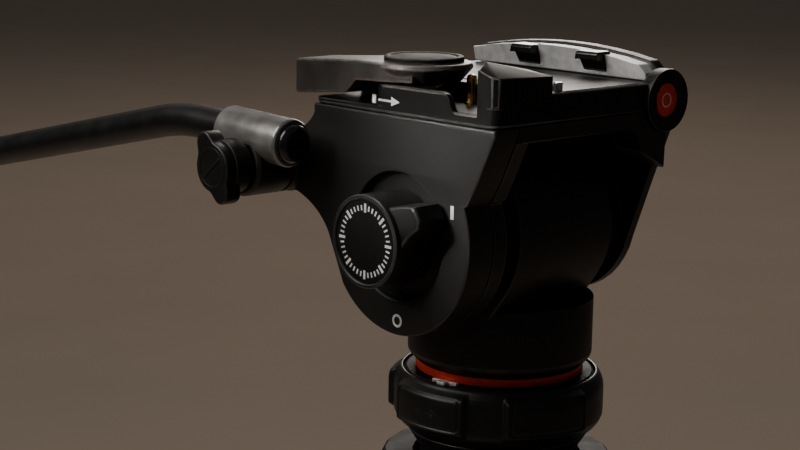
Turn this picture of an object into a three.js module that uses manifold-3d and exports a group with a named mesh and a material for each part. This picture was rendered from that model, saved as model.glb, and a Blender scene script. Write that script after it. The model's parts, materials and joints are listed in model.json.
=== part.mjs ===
// A tripod with a fluid video head: levelling column top, three telescopic legs,
// a pan base, a tilting cradle with a side-loading plate clamp, and a pan bar.
// Millimetres, +Z up. The front of the head is -Y and its operator side is -X.
// The origin is on the floor, under the pan axis.
import * as THREE from "three";
import { mergeVertices } from "three/addons/utils/BufferGeometryUtils.js";
import { ConvexGeometry } from "three/addons/geometries/ConvexGeometry.js";
import Module from "manifold-3d";

const wasm = await Module();
wasm.setup();

// ---------------------------------------------------------------- driving sizes
// Heights in the head are counted from the pan joint, the top edge of the red ring.
const gap = 0.3; // clearance between neighbouring pieces
const overlap = 1; // how far joined shapes run into each other
const facets = 0.62; // share of the stated sides that round shapes are given

// Pan base
const ringRadius = 30;
const ringHeight = 3;
const ringWall = 4;
const panRadius = 32.9;
const panHeight = 24;
const panRimDepth = 1.5;
const panRimWall = 1.7;
const bearingCavityRadius = 24;
const bearingCavityHeight = 10;
const bearingWall = 7;
const spindleRadius = 8;
const spindleHeight = 17;
const panKnobRadius = 8.5;
const panKnobLength = 15;
const panKnobHeight = 11;
const panKnobTurn = THREE.MathUtils.degToRad(43);
const studRadius = 3;

// Tilting cradle
const tiltHeight = 50.8; // tilt axis above the pan joint
const deckTop = tiltHeight + 40.3;
const deckThickness = 5.2;
const frontY = -44;
const rearY = 42.6;
const nearX = -51.9;
const coverSeamX = -40.5;
const nearWallInnerX = -34;
const nearBossX = -26.9;
const farBossX = 20;
const farWallInnerX = 33.4; // outside the pan housing, so the cradle can tilt past it
const farX = 37;
const sideDiscRadius = 34;
const farDiscRadius = 29.8;
const bossRadius = 26.5;
const drumRadius = 33.2;
const neckHalfWidth = 19.6; // of the drum where it joins the pan housing
const axleRadius = 7.7;
const axleEndX = 31.6;
const cartridgeRadius = 22;
const springRadius = 16;
const springWire = 2.4;
const springTurns = 3;
const springCavityRadius = 20;
const springCavityWall = 1.5;

// Counterbalance knob
const knobRecessRadius = 21.8;
const knobRecessDepth = 3.5;
const knobRadius = 15.7;
const knobFaceX = -66.6;
const knobCapRadius = 13.8;
const knobShaftRadius = 6;

// Platform and plate clamp
const platformTop = deckTop + 10;
const platformFarX = 39;
const seatHalfWidth = 19.4; // the strip that the camera plate rests on
const seatRise = 0.25;
const cornerRadius = 4;
const barrelX = 32.5;
const barrelHeight = deckTop + 3.6;
const barrelRadius = 10.8;
const barrelProud = 1.6;
const barrelRearY = -41.1;
const railRise = 0.9;
const railFarX = 37.4;
const barrelDiscRadius = 6.1;
const guardInnerX = -25.6;
const guardRearY = -36;
const pocketWall = 2.4;
const pocketFloor = deckTop + 3.9;
const rimNotchFloor = deckTop + 3.4;
const rimNotchRearY = -21.5;
const leverNotchFloor = deckTop + 2.4;
const leverPivotX = -37;
const leverPivotY = 3.5;
const leverHubTop = platformTop + 7.1;
const leverHubTopRadius = 16.8;
const leverHubBottom = platformTop + 0.5;
const leverHubBottomRadius = 12.5;
const leverOuterX = -53.4;
const leverInnerX = -35;
const leverEndY = 52.4;
const leverPaddleBottom = leverHubBottom - 7.5;
const leverPaddleTop = leverHubTop - 1.9;
const leverDiscRadius = 13.6;
const leverDiscHeight = 1.6;
const leverPinRadius = 4;
const safetyPinX = -30;
const safetyPinY = -12.2;
const safetyPinRadius = 1.8;
const safetyPinTop = platformTop + 3.7;
const safetyPinTravel = 3;
const jawFootX = 26.2;
const jawLean = 2.6;
const jawOuterX = 31;
const jawTop = platformTop + 9.3;
const aboveHead = platformTop + 20; // where cuts that run out upwards end
const jawEndDrop = 3.6;
const jawFrontY = -40.5;
const jawRearY = 41;
const jawTabWidth = 10;
const jawTabReach = 4.6;
const jawTabPlaces = [-18, 13];

// Pan bar and its clamp
const rosetteY = 57.6;
const rosetteZ = tiltHeight + 18.8;
const rosetteRadius = 11.5;
const rosetteFaceX = -56.3;
const bracketOuterX = -73.2;
const sleeveX = -65;
const sleeveFrontY = 38.4;
const sleeveRearY = 72;
const sleeveFrontZ = rosetteZ + 8.9;
const sleeveSlope = 0.0394;
const sleeveRadius = 8.4;
const barRadius = 6;
const barBendY = 100;
const barBendRun = 14;
const barFall = 0.2217;
const barEndY = 372;
const gripLength = 96;
const gripRadius = 13.5;
const clampScrewRadius = 2.5;
const clampKnobRadius = 8.6;
const clampKnobSpan = 26;
const clampKnobWing = 8.4;
const clampKnobDepth = 11.2;

// Tilt lock on the far side
const tiltLockHubRadius = 9;
const tiltLockDepth = 8;
const tiltLockReach = 32;

// Levelling top and crown
const plateRadius = 34.2;
const plateThickness = 5;
const collarRadius = 37.6;
const collarLobeRadius = 39.7;
const collarHeight = 15.6; // below the plate's underside
const collarLobeTop = -4.9;
const collarRimTop = -3.1;
const collarLobeHalfAngle = THREE.MathUtils.degToRad(23);
const collarLobeAngles = [182, 251, 38, 110].map(THREE.MathUtils.degToRad);
const neckRadius = 19.5;
const ballCentreZ = -30;
const ballRadius = 28.1;
const linerWall = 1.8;
const ballClearance = 0.6; // between the tilting shells, whose facets turn against each other
const linerRimAngle = -THREE.MathUtils.degToRad(16);
const crownRimZ = -35;
const crownRimRadius = 42;
const crownBottomRadius = 44; // the crown's lower seat, round about the ball centre
const crownHoleRadius = 17;
const tieRodRadius = 5;
const tieCupRadius = 20;
const tieCupClearance = 1;
const tieHeadRadius = 9;
const screwRadius = 4.7;

// Legs
const legCount = 3;
const legSpread = THREE.MathUtils.degToRad(25);
const hingeReach = 50;
const hingeZ = -64;
const knuckleRadius = 9.5;
const knuckleWidth = 22;
const earThickness = 6;
const pinRadius = 4;
const socketTop = 16;
const socketBottom = 62;
const tubeWall = 1.5;
const tubeClearance = 0.5; // round the lower tube, which slides
const lowerTubeRadius = 12;
const upperTubeRadius = lowerTubeRadius + tubeClearance + tubeWall;
const socketWall = 3.5;
const socketRadius = upperTubeRadius + socketWall;
const upperTubeEnd = 400;
const lockWall = 4.5;
const lockRadius = upperTubeRadius + lockWall;
const lockLength = 40;
const lockKnuckleRadius = 3.3;
const lowerTubeTop = 350;
const footCentre = 740; // hinge pin to the middle of the foot ball
const footRadius = lowerTubeRadius + 3;
const footDrop = footRadius - 2; // foot ball centre to the flat that rests on the floor
const footNeck = 18;

const headHeight = footCentre * Math.cos(legSpread) + footDrop - hingeZ;

// ---------------------------------------------------------------- finishes
const finish = (color, roughness, metalness) =>
  new THREE.MeshStandardMaterial({ color, roughness, metalness });
const finishes = {
  casting: () => finish(0x17171a, 0.6, 0.1),
  plastic: () => finish(0x1b1b1e, 0.5, 0),
  lever: () => finish(0x3a3633, 0.5, 0.1),
  satin: () => finish(0x29292d, 0.35, 0.6),
  red: () => finish(0xa5150f, 0.35, 0.3),
  jaw: () => finish(0xb4b4b6, 0.45, 0.6),
  steel: () => finish(0xc9ccd0, 0.3, 0.9),
  brass: () => finish(0xc79a4b, 0.3, 0.9),
  rubber: () => finish(0x121213, 0.85, 0),
  vial: () => finish(0xb7d84a, 0.2, 0),
};

// ---------------------------------------------------------------- solid helpers
// A closed geometry as a solid: vertices merged, collapsed faces dropped, faces outwards.
function solid(geometry) {
  const bare = new THREE.BufferGeometry();
  bare.setAttribute("position", geometry.getAttribute("position"));
  if (geometry.index) bare.setIndex(geometry.index);
  const merged = mergeVertices(bare, 1e-4);
  const source = merged.index.array;
  const corners = [];
  for (let i = 0; i < source.length; i += 3) {
    const [a, b, c] = [source[i], source[i + 1], source[i + 2]];
    if (a !== b && b !== c && c !== a) corners.push(a, b, c);
  }
  const vertProperties = merged.getAttribute("position").array;
  const build = (triVerts) =>
    new wasm.Manifold(new wasm.Mesh({ numProp: 3, vertProperties, triVerts }));
  const made = build(new Uint32Array(corners));
  if (made.volume() > 0) return made;
  return build(new Uint32Array(corners).reverse());
}

const join = (...solids) => solids.reduce((a, b) => a.add(b));
const cut = (body, ...tools) => tools.reduce((a, b) => a.subtract(b), body);

function geometryOf(body) {
  const mesh = body.getMesh();
  const stride = mesh.numProp;
  const points = new Float32Array(mesh.numVert * 3);
  for (let i = 0; i < mesh.numVert; i++) {
    points.set(mesh.vertProperties.subarray(i * stride, i * stride + 3), i * 3);
  }
  const geometry = new THREE.BufferGeometry();
  geometry.setAttribute("position", new THREE.BufferAttribute(points, 3));
  geometry.setIndex(new THREE.BufferAttribute(mesh.triVerts, 1));
  const flat = geometry.toNonIndexed();
  flat.computeVertexNormals();
  return flat;
}

function add(group, name, body, material) {
  const mesh = new THREE.Mesh(geometryOf(body), material);
  mesh.name = name;
  group.add(mesh);
}

// Turns that carry a shape drawn in two axes, and extruded along the third, into place.
const toX = new THREE.Matrix4().set(0, 0, 1, 0, 1, 0, 0, 0, 0, 1, 0, 0, 0, 0, 0, 1);
const toY = new THREE.Matrix4().set(0, 1, 0, 0, 0, 0, 1, 0, 1, 0, 0, 0, 0, 0, 0, 1);
const toZ = new THREE.Matrix4();

// A shape extruded from low to high, with its edges bevelled inside the outline.
function extrude(shape, low, high, bevel, turn, curveSegments) {
  const points = shape.getPoints(curveSegments);
  if (points[0].distanceTo(points.at(-1)) < 1e-6) points.pop();
  const geometry = new THREE.ExtrudeGeometry(new THREE.Shape(points), {
    depth: high - low - 2 * bevel,
    bevelEnabled: bevel > 0,
    bevelThickness: bevel,
    bevelSize: bevel,
    bevelOffset: -bevel,
    bevelSegments: 1,
  });
  geometry.translate(0, 0, low + bevel);
  return solid(geometry.applyMatrix4(turn));
}
const extrudeX = (yz, low, high, bevel = 0, n = 10) => extrude(yz, low, high, bevel, toX, n);
const extrudeY = (zx, low, high, bevel = 0, n = 10) => extrude(zx, low, high, bevel, toY, n);
const extrudeZ = (xy, low, high, bevel = 0, n = 10) => extrude(xy, low, high, bevel, toZ, n);

function box(x0, x1, y0, y1, z0, z1) {
  const geometry = new THREE.BoxGeometry(x1 - x0, y1 - y0, z1 - z0);
  return solid(geometry.translate((x0 + x1) / 2, (y0 + y1) / 2, (z0 + z1) / 2));
}

const sidesOf = (sides) => Math.max(8, 2 * Math.round((sides * facets) / 2));

// A round bar along Z, and the same along X about (y, z) and along Y about (x, z).
function barZ(radius, low, high, x = 0, y = 0, sides = 32) {
  const geometry = new THREE.CylinderGeometry(radius, radius, high - low, sidesOf(sides));
  geometry.rotateX(Math.PI / 2);
  return solid(geometry.translate(x, y, (low + high) / 2));
}
function barX(radius, low, high, y, z, sides = 32) {
  const geometry = new THREE.CylinderGeometry(radius, radius, high - low, sidesOf(sides));
  geometry.rotateZ(Math.PI / 2);
  return solid(geometry.translate((low + high) / 2, y, z));
}
function barY(radius, low, high, x, z, sides = 32) {
  const geometry = new THREE.CylinderGeometry(radius, radius, high - low, sidesOf(sides));
  return solid(geometry.translate(x, (low + high) / 2, z));
}

// A profile of [radius, height] points turned about Z.
function turned(profile, sides = 40) {
  const points = profile.map(([r, z]) => new THREE.Vector2(r, z));
  const geometry = new THREE.LatheGeometry([...points, points[0]], sidesOf(sides));
  return solid(geometry.rotateX(Math.PI / 2));
}

// Points of a circle of a turned profile, between two angles up from its equator.
function arcPoints(centreZ, radius, from, to, steps) {
  return Array.from({ length: steps + 1 }, (_, i) => {
    const angle = from + ((to - from) * i) / steps;
    return [radius * Math.cos(angle), centreZ + radius * Math.sin(angle)];
  });
}

// The angle below the equator at which a ball of that radius is `width` wide.
const belowEquator = (radius, width) => -Math.acos(width / radius);

function polygon(points) {
  return new THREE.Shape(points.map(([a, b]) => new THREE.Vector2(a, b)));
}

function roundedRectangle(x0, x1, y0, y1, radius) {
  const shape = new THREE.Shape();
  shape.moveTo(x0 + radius, y0);
  shape.lineTo(x1 - radius, y0);
  shape.absarc(x1 - radius, y0 + radius, radius, -Math.PI / 2, 0);
  shape.absarc(x1 - radius, y1 - radius, radius, 0, Math.PI / 2);
  shape.absarc(x0 + radius, y1 - radius, radius, Math.PI / 2, Math.PI);
  shape.absarc(x0 + radius, y0 + radius, radius, Math.PI, 1.5 * Math.PI);
  return shape;
}

// ---------------------------------------------------------------- groups
const tripod = new THREE.Group();
const head = new THREE.Group();
head.position.z = headHeight;
tripod.add(head);

// ---------------------------------------------------------------- pan base
function buildPanBase() {
  const discRadius = ringRadius - ringWall - gap;
  const seatZ = 0.2;
  const disc = cut(
    barZ(discRadius, -ringHeight, seatZ, 0, 0, 40),
    barZ(screwRadius + gap, -ringHeight - overlap, seatZ + overlap),
  );
  add(head, "base_disc", disc, finishes.satin());

  const ring = turned([
    [ringRadius - ringWall, -ringHeight],
    [ringRadius - 0.4, -ringHeight],
    [ringRadius, -ringHeight + 0.4],
    [ringRadius, -0.4],
    [ringRadius - 0.4, 0],
    [ringRadius - ringWall, 0],
  ], 48);
  add(head, "base_ring", ring, finishes.red());

  const spindle = cut(
    turned([
      [0, seatZ + gap],
      [2 * spindleRadius - 1, seatZ + gap],
      [2 * spindleRadius - 1, 3],
      [spindleRadius, 3],
      [spindleRadius, spindleHeight],
      [0, spindleHeight],
    ], 32),
    barZ(screwRadius + gap, -overlap, spindleHeight / 2 + gap),
  );
  add(head, "pan_spindle", spindle, finishes.steel());

  const bearing = turned([
    [bearingCavityRadius - gap - bearingWall, seatZ + 2 * gap],
    [bearingCavityRadius - gap, seatZ + 2 * gap],
    [bearingCavityRadius - gap, bearingCavityHeight - gap],
    [bearingCavityRadius - gap - bearingWall, bearingCavityHeight - gap],
  ], 36);
  add(head, "pan_bearing", bearing, finishes.steel());
}

// The turning housing: a cup over the spindle, with the drum that holds the tilt axle.
function buildPanHousing() {
  const lowZ = 2 * gap;
  const rimZ = panHeight - panRimDepth;
  const shell = turned([
    [0, spindleHeight + gap],
    [spindleRadius + gap, spindleHeight + gap],
    [spindleRadius + gap, bearingCavityHeight],
    [bearingCavityRadius, bearingCavityHeight],
    [bearingCavityRadius, lowZ],
    [panRadius - 2.4, lowZ],
    [panRadius, 3],
    [panRadius, panHeight - 0.8],
    [panRadius - 0.6, panHeight],
    [panRadius - panRimWall, panHeight],
    [panRadius - panRimWall, rimZ],
    [0, rimZ],
  ], 48);
  const low = nearBossX + gap;
  const high = farBossX - gap;
  const drum = barX(drumRadius, low, high, 0, tiltHeight, 48);
  const neck = box(low, high, -neckHalfWidth, neckHalfWidth, rimZ - overlap, tiltHeight);
  const cavityLow = low + 8;
  const body = cut(
    join(shell, drum, neck),
    barX(axleRadius + gap, low - overlap, high + overlap, 0, tiltHeight),
    barX(cartridgeRadius + gap, cavityLow, high + overlap, 0, tiltHeight, 40),
    knobStud(studRadius + gap, panRadius - 10, panRadius + overlap),
  );
  add(head, "pan_housing", body, finishes.casting());

  const cartridge = cut(
    barX(cartridgeRadius, cavityLow + gap, high, 0, tiltHeight, 40),
    barX(axleRadius + gap, cavityLow - overlap, high + overlap, 0, tiltHeight),
  );
  add(head, "drag_cartridge", cartridge, finishes.steel());

  const vialRadius = 4.9;
  const vialY = (neckHalfWidth + panRadius - panRimWall) / 2;
  const vial = barZ(vialRadius, rimZ + gap, panHeight + gap, 0, vialY, 24);
  add(head, "bubble_level", vial, finishes.vial());
}

// A round bar that lies along the pan lock's own axis, from one reach to another.
function knobStud(radius, from, to, sides = 24) {
  const geometry = new THREE.CylinderGeometry(radius, radius, to - from, sidesOf(sides));
  geometry.rotateZ(-Math.PI / 2);
  geometry.translate((from + to) / 2, 0, panKnobHeight);
  return solid(geometry.rotateZ(panKnobTurn));
}

function buildPanKnob() {
  const start = panRadius + 2 * gap;
  const flutes = Array.from({ length: 8 }, (_, i) => {
    const angle = (i * Math.PI) / 4;
    const flute = new THREE.CylinderGeometry(1.6, 1.6, panKnobLength, 10);
    flute.rotateZ(-Math.PI / 2);
    flute.translate(
      start + panKnobLength / 2 + 3,
      (panKnobRadius + 0.7) * Math.cos(angle),
      panKnobHeight + (panKnobRadius + 0.7) * Math.sin(angle),
    );
    return solid(flute.rotateZ(panKnobTurn));
  });
  const grip = knobStud(panKnobRadius, start, start + panKnobLength, 32);
  const stud = knobStud(studRadius, panRadius - 9, start + overlap);
  add(head, "pan_lock_knob", join(cut(grip, ...flutes), stud), finishes.plastic());
}

// ---------------------------------------------------------------- tilting cradle
// The operator side wall seen from its side: a disc about the tilt axis that widens
// to the deck, and to the pan bar's rosette at the rear when `withRosette` is set.
function nearWallShape(top, withRosette) {
  const shape = new THREE.Shape();
  const frontAngle = THREE.MathUtils.degToRad(156);
  const rearAngle = THREE.MathUtils.degToRad(-38);
  shape.moveTo(frontY, top);
  shape.lineTo(frontY, top - 2);
  shape.lineTo(-36.2, tiltHeight + 21.3);
  shape.lineTo(-32.6, tiltHeight + 14.7);
  shape.absarc(0, tiltHeight, sideDiscRadius, frontAngle, rearAngle + 2 * Math.PI);
  if (withRosette) {
    const lowAngle = THREE.MathUtils.degToRad(-115);
    const highAngle = THREE.MathUtils.degToRad(115);
    const lowY = rosetteY + rosetteRadius * Math.cos(lowAngle);
    const lowZ = rosetteZ + rosetteRadius * Math.sin(lowAngle);
    shape.lineTo(34.6, tiltHeight - 4.3);
    shape.quadraticCurveTo(40, tiltHeight + 4.7, lowY, lowZ);
    shape.absarc(rosetteY, rosetteZ, rosetteRadius, lowAngle, highAngle);
    shape.quadraticCurveTo(rearY + 2, top - 7.1, rearY, top - 3);
  } else {
    shape.lineTo(34.6, tiltHeight - 4.3);
    shape.lineTo(rearY - 1, top - 14);
    shape.lineTo(rearY, top - 10);
  }
  shape.lineTo(rearY, top);
  return shape;
}

// The far wall tapers from the deck to a smaller disc about the tilt axis.
function farWallShape(top) {
  const shape = new THREE.Shape();
  const frontAngle = THREE.MathUtils.degToRad(193);
  const rearAngle = THREE.MathUtils.degToRad(-13);
  shape.moveTo(frontY, top);
  shape.lineTo(frontY, top - 6);
  shape.absarc(0, tiltHeight, farDiscRadius, frontAngle, rearAngle + 2 * Math.PI);
  shape.lineTo(rearY, top - 6);
  shape.lineTo(rearY, top);
  return shape;
}

function buildSideCover() {
  const wall = extrudeX(nearWallShape(deckTop, true), nearX, coverSeamX, 1.2, 9);
  const boss = barX(rosetteRadius - 0.5, rosetteFaceX, coverSeamX - 2, rosetteY, rosetteZ, 36);
  const recessFloor = nearX + knobRecessDepth;
  const body = cut(
    join(wall, boss),
    barX(knobRecessRadius, nearX - overlap, recessFloor, 0, tiltHeight, 48),
    barX(springCavityRadius, recessFloor + springCavityWall, coverSeamX + overlap, 0, tiltHeight),
    barX(knobShaftRadius + gap, nearX, coverSeamX, 0, tiltHeight),
    barX(clampScrewRadius + gap, rosetteFaceX - overlap, coverSeamX - 3, rosetteY, rosetteZ, 20),
  );
  add(head, "side_cover", body, finishes.casting());
}

function buildTiltFrame() {
  const wallX = coverSeamX + gap;
  const deckLow = deckTop - deckThickness;
  const deck = extrudeZ(
    roundedRectangle(wallX, farX, frontY, rearY, 1), deckLow, deckTop, 0, 3,
  );
  const gusset = new THREE.Shape();
  gusset.moveTo(deckLow + overlap, 12);
  gusset.quadraticCurveTo(deckLow, farBossX, deckLow - 8, farBossX + 0.5);
  gusset.lineTo(deckLow - 15, farWallInnerX + 0.4);
  gusset.lineTo(deckLow + overlap, farWallInnerX + 0.4);
  const barrelRoom = barrelRadius + gap;
  const cavityEnd = wallX + 4.5;
  const body = cut(
    join(
      deck,
      extrudeX(nearWallShape(deckTop, false), wallX, nearWallInnerX, 0, 9),
      barX(bossRadius, nearWallInnerX - overlap, nearBossX, 0, tiltHeight, 40),
      extrudeX(farWallShape(deckTop), farWallInnerX, farX, 0, 9),
      barX(bossRadius, farBossX, farWallInnerX + overlap, 0, tiltHeight, 40),
      extrudeY(gusset, frontY, frontY + 12, 0, 5),
    ),
    barY(barrelRoom, frontY - overlap, barrelRearY + gap, barrelX, barrelHeight, 40),
    barX(springCavityRadius, wallX - overlap, cavityEnd, 0, tiltHeight),
    barX(axleRadius + gap, wallX, axleEndX + gap, 0, tiltHeight),
    barX(studRadius + gap, axleEndX, farX + overlap, 0, tiltHeight, 24),
  );
  add(head, "tilt_frame", body, finishes.casting());

  const axle = barX(axleRadius, cavityEnd + gap, axleEndX, 0, tiltHeight);
  add(head, "tilt_axle", axle, finishes.steel());
}

// The torsion spring of the counterbalance, a closed helix about the tilt axis.
function buildSpring() {
  const start = nearX + knobRecessDepth + springCavityWall + springWire / 2 + gap;
  const pitch = springWire + gap;
  class Helix extends THREE.Curve {
    getPoint(t) {
      const angle = t * springTurns * 2 * Math.PI;
      return new THREE.Vector3(
        start + t * springTurns * pitch,
        springRadius * Math.cos(angle),
        tiltHeight + springRadius * Math.sin(angle),
      );
    }
  }
  const wire = new THREE.Shape().absarc(0, 0, springWire / 2, 0, 2 * Math.PI);
  const geometry = new THREE.ExtrudeGeometry(wire, {
    steps: springTurns * 12,
    curveSegments: 3,
    bevelEnabled: false,
    extrudePath: new Helix(),
  });
  add(head, "counterbalance_spring", solid(geometry), finishes.steel());
}

function buildCounterbalanceKnob() {
  const outline = new THREE.Shape();
  const lobeStart = THREE.MathUtils.degToRad(126);
  const lobeEnd = THREE.MathUtils.degToRad(184);
  outline.absarc(0, tiltHeight, knobRadius, lobeEnd, lobeStart + 2 * Math.PI);
  outline.quadraticCurveTo(-15, tiltHeight + 14.2, -22, tiltHeight + 14.4);
  outline.lineTo(-24.6, tiltHeight + 10);
  outline.lineTo(-23.8, tiltHeight + 7);
  outline.quadraticCurveTo(
    -18, tiltHeight + 4, knobRadius * Math.cos(lobeEnd), tiltHeight + knobRadius * Math.sin(lobeEnd),
  );
  const capDepth = 1.6;
  const recessFloor = nearX + knobRecessDepth;
  const knob = cut(
    join(
      extrudeX(outline, knobFaceX, nearX - 2 * gap, 1.2, 10),
      barX(knobRadius, nearX - overlap, recessFloor - gap, 0, tiltHeight, 48),
      barX(knobShaftRadius, recessFloor - overlap, recessFloor + springCavityWall, 0, tiltHeight),
    ),
    barX(knobCapRadius + gap, knobFaceX - overlap, knobFaceX + capDepth + gap, 0, tiltHeight, 48),
  );
  add(head, "counterbalance_knob", knob, finishes.plastic());
  const cap = barX(knobCapRadius, knobFaceX, knobFaceX + capDepth, 0, tiltHeight, 48);
  add(head, "counterbalance_cap", cap, finishes.plastic());
}

// ---------------------------------------------------------------- platform
function buildPlatform() {
  const low = deckTop + gap;
  const slab = extrudeZ(
    roundedRectangle(nearX, platformFarX, frontY, rearY, cornerRadius), low, platformTop, 0.6, 6,
  );
  // The guard in front of the lever: its top rises from the front to a slanted ridge.
  const root = platformTop - 3;
  const guardPoints = [
    [nearX, frontY + 1.8, root], [nearX + 1.8, frontY, root], [guardInnerX, frontY, root],
    [guardInnerX, guardRearY, root], [nearX, guardRearY, root],
    [nearX, frontY + 1.8, platformTop + 6.6], [nearX + 1.8, frontY, platformTop + 6.4],
    [guardInnerX, frontY, platformTop + 5.4], [nearX, guardRearY, platformTop + 8.3],
    [nearX + 3.4, guardRearY, platformTop + 11.1],
    [guardInnerX - 3.5, guardRearY, platformTop + 7.3],
    [guardInnerX, guardRearY, platformTop + 5.1],
  ];
  const guard = solid(new ConvexGeometry(guardPoints.map((p) => new THREE.Vector3(...p))));
  const barrel = barY(
    barrelRadius, frontY - barrelProud, barrelRearY, barrelX, barrelHeight, 48,
  );
  const seat = box(
    -seatHalfWidth, seatHalfWidth, frontY + 1, rearY - 1, platformTop - overlap,
    platformTop + seatRise,
  );
  const rail = extrudeX(jawArch(railRise), jawOuterX + gap, railFarX, 0.8, 8);
  const notch = new THREE.Shape();
  notch.moveTo(guardRearY, platformTop + overlap);
  notch.lineTo(guardRearY, rimNotchFloor);
  notch.lineTo(rimNotchRearY - 5, rimNotchFloor);
  notch.bezierCurveTo(
    rimNotchRearY - 2, rimNotchFloor, rimNotchRearY - 3, platformTop, rimNotchRearY + 1.5,
    platformTop,
  );
  notch.lineTo(rimNotchRearY + 1.5, platformTop + overlap);
  const sweep = cut(
    barZ(60, leverNotchFloor, platformTop + overlap, leverPivotX, leverPivotY, 48),
    barZ(leverHubBottomRadius + 3, low, aboveHead, leverPivotX, leverPivotY, 40),
    box(leverInnerX + 5.5, 60, -80, 80, deckTop, aboveHead),
    box(-120, 60, -80, leverPivotY, deckTop, aboveHead),
  );
  const hole = 2 * overlap;
  const body = cut(
    join(slab, guard, barrel, rail, seat),
    extrudeX(notch, nearX - overlap, nearX + pocketWall + overlap, 0, 6),
    box(nearX + pocketWall, guardInnerX + 0.2, guardRearY, 24, pocketFloor, aboveHead),
    sweep,
    barZ(leverPinRadius + gap, low - hole, pocketFloor + hole, leverPivotX, leverPivotY, 24),
    barZ(safetyPinRadius + gap, low - hole, pocketFloor + hole, safetyPinX, safetyPinY, 16),
    barY(barrelDiscRadius + gap, frontY - 5, frontY + 1.5, barrelX, barrelHeight, 32),
  );
  add(head, "platform", body, finishes.casting());

  const disc = barY(
    barrelDiscRadius, frontY - barrelProud + 0.9, frontY + 1.5 - gap, barrelX, barrelHeight, 32,
  );
  add(head, "barrel_disc", disc, finishes.red());
}

// The jaw and the rail behind it seen from the side: flat below, arched above.
function jawArch(rise) {
  const low = platformTop + gap - (rise > 0 ? overlap : 0);
  const shoulder = jawTop + rise - jawEndDrop;
  const middle = (jawFrontY + jawRearY) / 2;
  const profile = new THREE.Shape();
  profile.moveTo(jawFrontY, low);
  profile.lineTo(jawRearY, low);
  profile.lineTo(jawRearY, shoulder);
  profile.quadraticCurveTo(middle, shoulder + 2 * jawEndDrop, jawFrontY + 3, shoulder);
  profile.lineTo(jawFrontY, shoulder - 3);
  return profile;
}

// The fixed jaw leans over the plate's bevel; black tabs fill two slots in it.
function buildJaw() {
  const low = platformTop + gap;
  const topX = jawFootX - jawLean;
  const section = polygon([
    [low, jawFootX], [low, jawOuterX], [jawTop - 2, jawOuterX], [jawTop + 1, jawOuterX - 3],
    [jawTop + 1, topX],
  ]);
  const rail = extrudeX(jawArch(0), topX - 1, jawOuterX + 1, 0, 8)
    .intersect(extrudeY(section, jawFrontY - overlap, jawRearY + overlap));
  const half = jawTabWidth / 2 + gap;
  const slots = jawTabPlaces.map(
    (y) => box(topX - 2, jawFootX + 2, y - half, y + half, low + 1.4, aboveHead),
  );
  add(head, "far_jaw", cut(rail, ...slots), finishes.jaw());

  const tabTop = jawTop - 0.4;
  const tab = polygon([
    [low + 1.7, jawFootX + 1.7], [low + 1.7, jawFootX - 0.6], [tabTop - 3, topX - 0.6],
    [tabTop - 3, jawFootX - jawTabReach - 1.2], [tabTop - 0.9, jawFootX - jawTabReach - 1.2],
    [tabTop, jawFootX - jawTabReach - 0.2], [tabTop, jawFootX + 1.7],
  ]);
  jawTabPlaces.forEach((y, i) => {
    const body = extrudeY(tab, y - jawTabWidth / 2, y + jawTabWidth / 2);
    add(head, i === 0 ? "jaw_tab_front" : "jaw_tab_rear", body, finishes.plastic());
  });
}

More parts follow.
